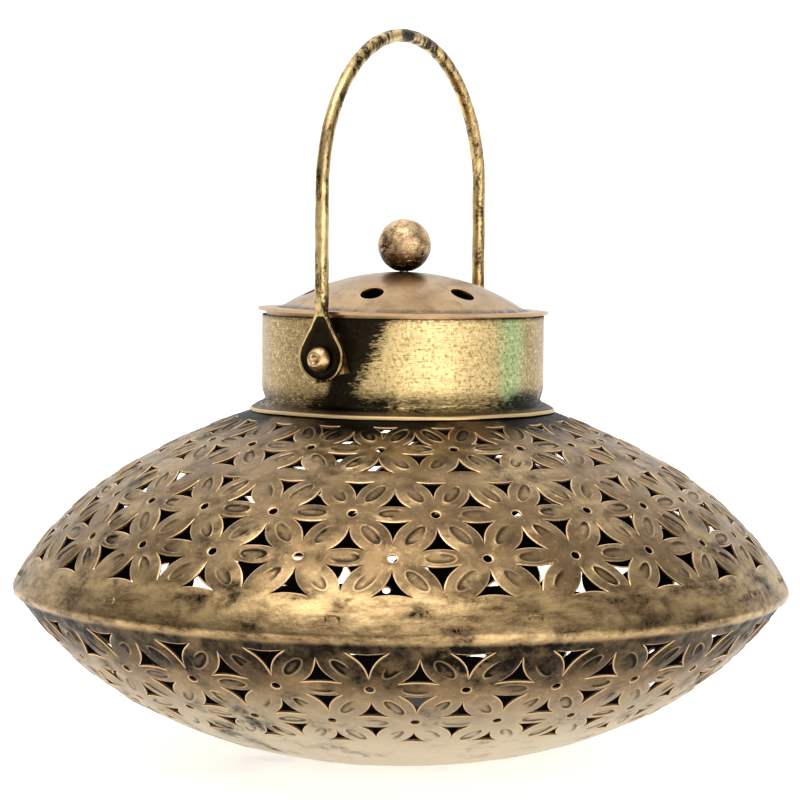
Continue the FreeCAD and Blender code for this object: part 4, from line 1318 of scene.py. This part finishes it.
def sooty_inside():
    material, shader, place = new_material("sooty_inside")
    mottle = blotches(place, 0.012, 4.0, 0.6)
    base = mottle.ramp(0.4, 0.7).mix((0.012, 0.010, 0.008), (0.035, 0.026, 0.018))
    plug(shader, base_color=base, metallic=0.3, roughness=mottle.between(0.6, 0.85),
         normal=raise_grain(place, mottle, 0.0003, 0.6))
    return material


# across the view: the painted side shade, the painted green reflection and the smoke with its painted
# shadow lie along this heading
VIEW_ACROSS_HEADING = math.radians(-59.5)  # along the smoked patch, from the left pivot's side
FOOT_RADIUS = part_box("neck_collar")[1].x


def bright_brass():
    """Brushed brass: fine lines round the collar, sparkling grain, near-black patches of painted
    shade low down and under the lid's rim.
    """
    material, shader, place = new_material("bright_brass")
    height, radius = height_and_radius(place)
    brush = blotches(place, 0.010, 6.0, 0.75, (1.0, 1.0, 34.0))
    fine = blotches(place, 0.0022, 3.0, 0.7, (1.0, 1.0, 5.0))
    grain = blotches(place, 0.0010, 2.0, 0.6)
    cloud = blotches(place, 0.026, 4.0, 0.6)
    x, y, _ = split(place)
    across = x * math.cos(VIEW_ACROSS_HEADING) + y * math.sin(VIEW_ACROSS_HEADING)
    ahead = x * math.sin(VIEW_ACROSS_HEADING) - y * math.cos(VIEW_ACROSS_HEADING)
    base = cloud.ramp(0.35, 0.7).mix((0.74, 0.56, 0.27), (0.58, 0.42, 0.20))
    base = (brush.ramp(0.42, 0.72) * 0.7).mix(base, (0.30, 0.215, 0.105))
    # painted shade, browned towards both ends of the smoked side
    painted_side_shade = across.ramp(-0.012, -0.030) * 0.62 + across.ramp(0.026, 0.042) * 0.55
    base = (painted_side_shade * ahead.ramp(-0.01, 0.01)).mix(base, (0.26, 0.175, 0.085))
    # painted green reflection: a green strip between the bright and the browned part
    painted_green_reflection = across.ramp(0.0275, 0.0330) * across.ramp(0.0400, 0.0350) * ahead.ramp(0.0, 0.01)
    base = (painted_green_reflection * 0.75).mix(base, (0.40, 0.56, 0.27))
    base = (grain.ramp(0.56, 0.66) * 0.45).mix(base, (0.98, 0.80, 0.48))
    base = (grain.ramp(0.46, 0.36) * 0.55).mix(base, (0.16, 0.11, 0.055))
    # painted shade: near-black low down at the waist and foot, and at the top edge under the lid's
    # rim
    low = height.ramp(0.1215, 0.1135)
    upper = height.ramp(0.1395, 0.1414)
    # smoke and painted shadow beside the left pivot, broad at the top and slanting in towards the
    # foot
    slant = across - height * 0.5 + 0.0745 + (fine - 0.5) * 0.016 + (cloud - 0.5) * 0.012
    smoke_and_shadow_beside = slant.ramp(0.0026, -0.0018) * across.ramp(-0.0245, -0.0215) * ahead.ramp(0.0, 0.008)
    darkening = (low * 0.75 + upper * 0.8) * fine.ramp(0.30, 0.56) + smoke_and_shadow_beside
    darkening = darkening + low * cloud.ramp(0.40, 0.56) * 0.75
    darkening = darkening + brush.ramp(0.58, 0.70) * fine.ramp(0.46, 0.60) * 0.8
    darkening = darkening.clamped()
    base = (darkening * 0.96).mix(base, (0.007, 0.006, 0.005))
    on_foot = height.ramp(0.1140, 0.1125)
    flange = radius.ramp(FOOT_RADIUS - 0.0028, FOOT_RADIUS - 0.0018) * on_foot
    base = (flange * 0.8).mix(base, (0.115, 0.080, 0.045))
    lip = radius.ramp(FOOT_RADIUS - 0.0007, FOOT_RADIUS - 0.0003) * on_foot
    base = (lip * 0.9).mix(base, (0.70, 0.52, 0.28))
    bump = raise_grain(place, brush * 1.0 + fine * 0.55 + grain * 0.35, 0.00016, 0.8)
    plug(shader, base_color=base, metallic=1.0,
         roughness=fine.between(0.24, 0.42) + darkening * 0.15, normal=bump)
    return material


def copper_bronze():
    """Smooth copper-bronze lid, a little darker at the foot of its crown, with painted shade under
    the knob.
    """
    material, shader, place = new_material("copper_bronze")
    _, radius = height_and_radius(place)
    cloud = blotches(place, 0.022, 4.0, 0.6)
    mottle = blotches(place, 0.005, 5.0, 0.7)
    grain = blotches(place, 0.0012, 2.0, 0.6)
    base = cloud.ramp(0.35, 0.68).mix((0.34, 0.215, 0.11), (0.44, 0.31, 0.17))
    base = (mottle.ramp(0.46, 0.70) * 0.65).mix(base, (0.24, 0.155, 0.085))
    foot = radius.ramp(0.0375, 0.0395) * radius.ramp(0.0420, 0.0402)
    # painted shade under the knob
    top = radius.ramp(0.0085, 0.0050)
    darkening = (foot * 0.7 + top * 0.8) * mottle.ramp(0.25, 0.55)
    rim = radius.ramp(0.0455, 0.0466)
    base = (rim * 0.6).mix(base, (0.44, 0.27, 0.15))
    worn = mark_of(place, "worn")
    base = (worn * 0.6).mix(darkening.mix(base, (0.03, 0.022, 0.016)), (0.66, 0.40, 0.22))
    bump = raise_grain(place, mottle + grain * 0.4, 0.00016, 0.7)
    plug(shader, base_color=base, metallic=1.0, roughness=mottle.between(0.26, 0.42),
         normal=bump)
    return material


def worn_brass():
    """Cast brass, scratched and pitted, dark in its hollows."""
    material, shader, place = new_material("worn_brass")
    mottle = blotches(place, 0.0034, 5.0, 0.72)
    grain = blotches(place, 0.0011, 3.0, 0.7)
    scratch = blotches(place, 0.0026, 3.0, 0.6, (1.0, 5.0, 1.0))
    bevel = place.node("ShaderNodeNewGeometry", None, None, output=7)
    hollow = bevel.ramp(0.50, 0.44)
    ridge = bevel.ramp(0.505, 0.56)
    base = mottle.ramp(0.38, 0.66).mix((0.66, 0.46, 0.24), (0.30, 0.19, 0.10))
    darkening = mottle.ramp(0.55, 0.68) * grain.ramp(0.38, 0.60) * 0.9 + hollow * 0.8
    darkening = (darkening - ridge * 0.5).clamped()
    base = darkening.mix(base, (0.035, 0.022, 0.014))
    base = (ridge * 0.5 + scratch.ramp(0.62, 0.70) * 0.6).clamped().mix(base, (0.86, 0.66, 0.38))
    bump = raise_grain(place, mottle * 1.2 + grain * 0.6 + scratch * 0.6, 0.00020, 0.9)
    plug(shader, base_color=base, metallic=1.0, roughness=grain.between(0.24, 0.44),
         normal=bump)
    return material


def knob_brass():
    """The knob's brass: as the other castings, with painted shade darkening its lower half."""
    material, shader, place = new_material("knob_brass")
    height, _ = height_and_radius(place)
    mottle = blotches(place, 0.0046, 5.0, 0.74)
    grain = blotches(place, 0.0012, 3.0, 0.7)
    scratch = blotches(place, 0.0030, 4.0, 0.65, (1.0, 1.0, 4.0))
    base = mottle.ramp(0.36, 0.66).mix((0.74, 0.53, 0.31), (0.28, 0.165, 0.09))
    # painted shade: the lower half darkened
    lower = height.ramp(0.1655, 0.1580)
    darkening = lower * 0.85 + mottle.ramp(0.54, 0.64) * 0.8
    darkening = darkening.clamped() * (1.0 - scratch.ramp(0.56, 0.64) * 0.85)
    base = (darkening * 0.96).mix(base, (0.012, 0.008, 0.006))
    bright = scratch.ramp(0.60, 0.68) * grain.ramp(0.42, 0.56)
    base = bright.mix(base, (0.88, 0.70, 0.44))
    bump = raise_grain(place, mottle * 1.4 + grain * 0.5 + scratch * 0.8, 0.00028, 0.9)
    plug(shader, base_color=base, metallic=1.0, roughness=grain.between(0.22, 0.42),
         normal=bump)
    return material


def brass_rod():
    """Drawn brass rod with dark streaks along it; the forged ends are dark inside their edge, patina
    and painted shade.
    """
    material, shader, place = new_material("brass_rod")
    x, _, height = split(place)
    streak = blotches(place, 0.0032, 4.0, 0.66, (1.0, 1.0, 0.22))
    mottle = blotches(place, 0.006, 5.0, 0.7)
    grain = blotches(place, 0.0010, 3.0, 0.7)
    base = mottle.ramp(0.36, 0.68).mix((0.66, 0.49, 0.24), (0.44, 0.31, 0.15))
    darkening = streak.ramp(0.48, 0.62) * grain.ramp(0.30, 0.58) * 0.9
    darkening = darkening + mottle.ramp(0.58, 0.70) * 0.6
    out = x.math("ABSOLUTE", x)
    # the sunk face of a forged end, darkened as patina and painted shade: between its floor and its
    # raised rim, up to where it tapers
    face = out.ramp(0.05016, 0.04990) * out.ramp(0.04945, 0.04955) * height.ramp(0.1450, 0.1425)
    top = height.ramp(0.215, 0.231) * 0.65
    darkening = (darkening + face * 1.6 + top * streak.ramp(0.40, 0.56)).clamped()
    base = (darkening * 0.97).mix(base, (0.008, 0.006, 0.004))
    bump = raise_grain(place, streak + mottle * 0.6 + grain * 0.5, 0.00018, 0.85)
    plug(shader, base_color=base, metallic=1.0, roughness=grain.between(0.24, 0.42),
         normal=bump)
    return material


def plain_metal(name, light, dark, roughness, patch=0.004):
    """Small fittings: mottled, finely grained metal."""
    material, shader, place = new_material(name)
    mottle = blotches(place, patch, 5.0, 0.68)
    grain = blotches(place, patch / 5, 3.0, 0.7)
    base = mottle.ramp(0.38, 0.68).mix(light, dark)
    plug(shader, base_color=base, metallic=0.95,
         roughness=grain.between(roughness - 0.1, roughness + 0.1),
         normal=raise_grain(place, mottle + grain * 0.5, 0.00012, 0.7))
    return material


def candle_wax():
    material, shader, place = new_material("candle_wax")
    cloud = blotches(place, 0.006, 4.0, 0.5)
    base = cloud.mix((0.86, 0.83, 0.74), (0.93, 0.91, 0.86))
    plug(shader, base_color=base, metallic=0.0, roughness=cloud.between(0.35, 0.55),
         normal=raise_grain(place, cloud, 0.0003, 0.5))
    shader.inputs["Subsurface Weight"].default_value = 0.25
    shader.inputs["Subsurface Radius"].default_value = (0.004, 0.003, 0.002)
    return material


def wick_cotton():
    material, shader, place = new_material("wick_cotton")
    twist = place.node("ShaderNodeTexWave", {"wave_type": "BANDS", "bands_direction": "DIAGONAL"},
                       {"Vector": place, "Scale": 260.0, "Distortion": 1.0, "Detail": 2.0}, output=1)
    base = twist.mix((0.62, 0.58, 0.50), (0.86, 0.83, 0.76))
    plug(shader, base_color=base, metallic=0.0, roughness=twist.between(0.75, 0.95),
         normal=raise_grain(place, twist, 0.0002, 0.8))
    return material


# --- studio -----------------------------------------------------------------------------------

def add_softbox(name, place, target, size, power):
    lamp = bpy.data.lights.new(name, "AREA")
    lamp.energy = power
    lamp.shape = "RECTANGLE"
    lamp.size, lamp.size_y = size
    light = bpy.data.objects.new(name, lamp)
    light.location = place
    light.rotation_euler = (Vector(target) - Vector(place)).to_track_quat("-Z", "Y").to_euler()
    bpy.context.scene.collection.objects.link(light)


CAMERA_HEADING = math.radians(-149.54)  # where the camera stands, seen from the lantern's axis


def studio_spot(sideways, towards, height):
    """Point in the room: to the right of the lantern, towards the camera, and up."""
    towards_camera = Vector((math.cos(CAMERA_HEADING), math.sin(CAMERA_HEADING), 0.0))
    right = Vector((-towards_camera.y, towards_camera.x, 0.0))
    return right * sideways + towards_camera * towards + Vector((0.0, 0.0, height))


def make_camera():
    """Long lens, a little above the neck, looking slightly down."""
    distance = 935.2 * MM
    data = bpy.data.cameras.new("camera")
    data.sensor_width = 36.0
    data.lens = 130.5
    data.clip_start = 0.05
    data.clip_end = 20.0
    camera = bpy.data.objects.new("camera", data)
    camera.location = studio_spot(0.0, distance, 171.9 * MM)
    pitch, yaw, roll = math.radians(-3.57), math.radians(0.047), math.radians(0.5)
    look = Matrix.Rotation(yaw, 3, "Z") @ -studio_spot(0.0, 1.0, 0.0)
    forward = look * math.cos(pitch) + Vector((0, 0, math.sin(pitch)))
    facing = forward.to_track_quat("-Z", "Y").to_matrix() @ Matrix.Rotation(roll, 3, "Z")
    camera.rotation_euler = facing.to_euler()
    bpy.context.scene.collection.objects.link(camera)
    bpy.context.scene.camera = camera


def make_studio():
    half = 4.0
    depth = -0.0004
    floor = mesh_object("floor", [(-half, -half, depth), (half, -half, depth), (half, half, depth),
                                  (-half, half, depth)], [(0, 1, 2, 3)])
    material, shader, place = new_material("floor_white")
    plug(shader, base_color=blotches(place, 0.5).mix((0.90, 0.90, 0.90), (0.92, 0.92, 0.92)),
         roughness=0.9, emission_color=(1.0, 1.0, 1.0, 1.0), emission_strength=0.5)
    dress(floor, material)
    world = bpy.data.worlds.new("studio")
    world.use_nodes = True
    bpy.context.scene.world = world
    nodes = world.node_tree
    way = Link(nodes).node("ShaderNodeTexCoord")
    behind = way.node("ShaderNodeVectorMath", {"operation": "DOT_PRODUCT"},
                      {0: way, 1: -studio_spot(0.0, 1.0, 0.0)}, output=1)
    above = way.node("ShaderNodeSeparateXYZ", None, {0: way}, output=2)
    strength = behind.ramp(0.15, 0.65) * 0.85 + above.ramp(0.30, 0.85) * 0.6 + 0.16
    seen = way.node("ShaderNodeLightPath")
    white = way.node("ShaderNodeBackground", None, {"Color": (1, 1, 1, 1), "Strength": 1.05})
    room = way.node("ShaderNodeBackground", None, {"Color": (0.96, 0.98, 1, 1), "Strength": strength})
    both = way.node("ShaderNodeMixShader", None, {0: seen, 1: room, 2: white})
    nodes.links.new(both.socket, nodes.nodes["World Output"].inputs["Surface"])
    middle = (0.0, 0.0, 0.10)
    add_softbox("window", studio_spot(0.55, 1.15, 0.30), middle, (1.15, 0.8), 6.0)
    add_softbox("overhead", studio_spot(-0.2, 0.5, 1.3), middle, (1.0, 0.8), 7.0)
    bpy.context.scene.view_settings.view_transform = "Standard"
    bpy.context.scene.view_settings.look = "Medium High Contrast"


# --- lantern ----------------------------------------------------------------------------------

shell_gold = antique_gold()
inside = sooty_inside()
brass = bright_brass()
copper = copper_bronze()
cast_brass = worn_brass()
rod_brass = brass_rod()
wedge_tree = ring_of_wedges_tree()

make_dome(wedge_tree, shell_gold, inside)
make_bowl(wedge_tree, shell_gold, inside)
make_punch_marks(shell_gold)
make_collar(brass)
make_lid(wedge_tree, copper, inside)
make_knob(knob_brass())
make_bail(rod_brass)
for side, name in ((1, "right"), (-1, "left")):
    make_rivet(side, name, cast_brass)
    make_spacer(side, name, cast_brass)

steel = plain_metal("steel_screw", (0.52, 0.50, 0.47), (0.30, 0.28, 0.25), 0.35, 0.002)
iron = plain_metal("cup_iron", (0.16, 0.13, 0.10), (0.06, 0.05, 0.04), 0.5)
tin = plain_metal("tealight_tin", (0.82, 0.82, 0.80), (0.64, 0.64, 0.63), 0.3)
carried = {
    "lid_locating_ring": copper, "knob_screw": steel, "knob_washer": steel,
    "inner_washer_left": steel, "inner_washer_right": steel, "candle_cup": iron,
    "tealight_case": tin, "tealight_wax": candle_wax(), "tealight_wick": wick_cotton(),
    "wick_tab": steel,
}
for name, finish in carried.items():
    dress(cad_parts[name], finish)

make_camera()
make_studio()
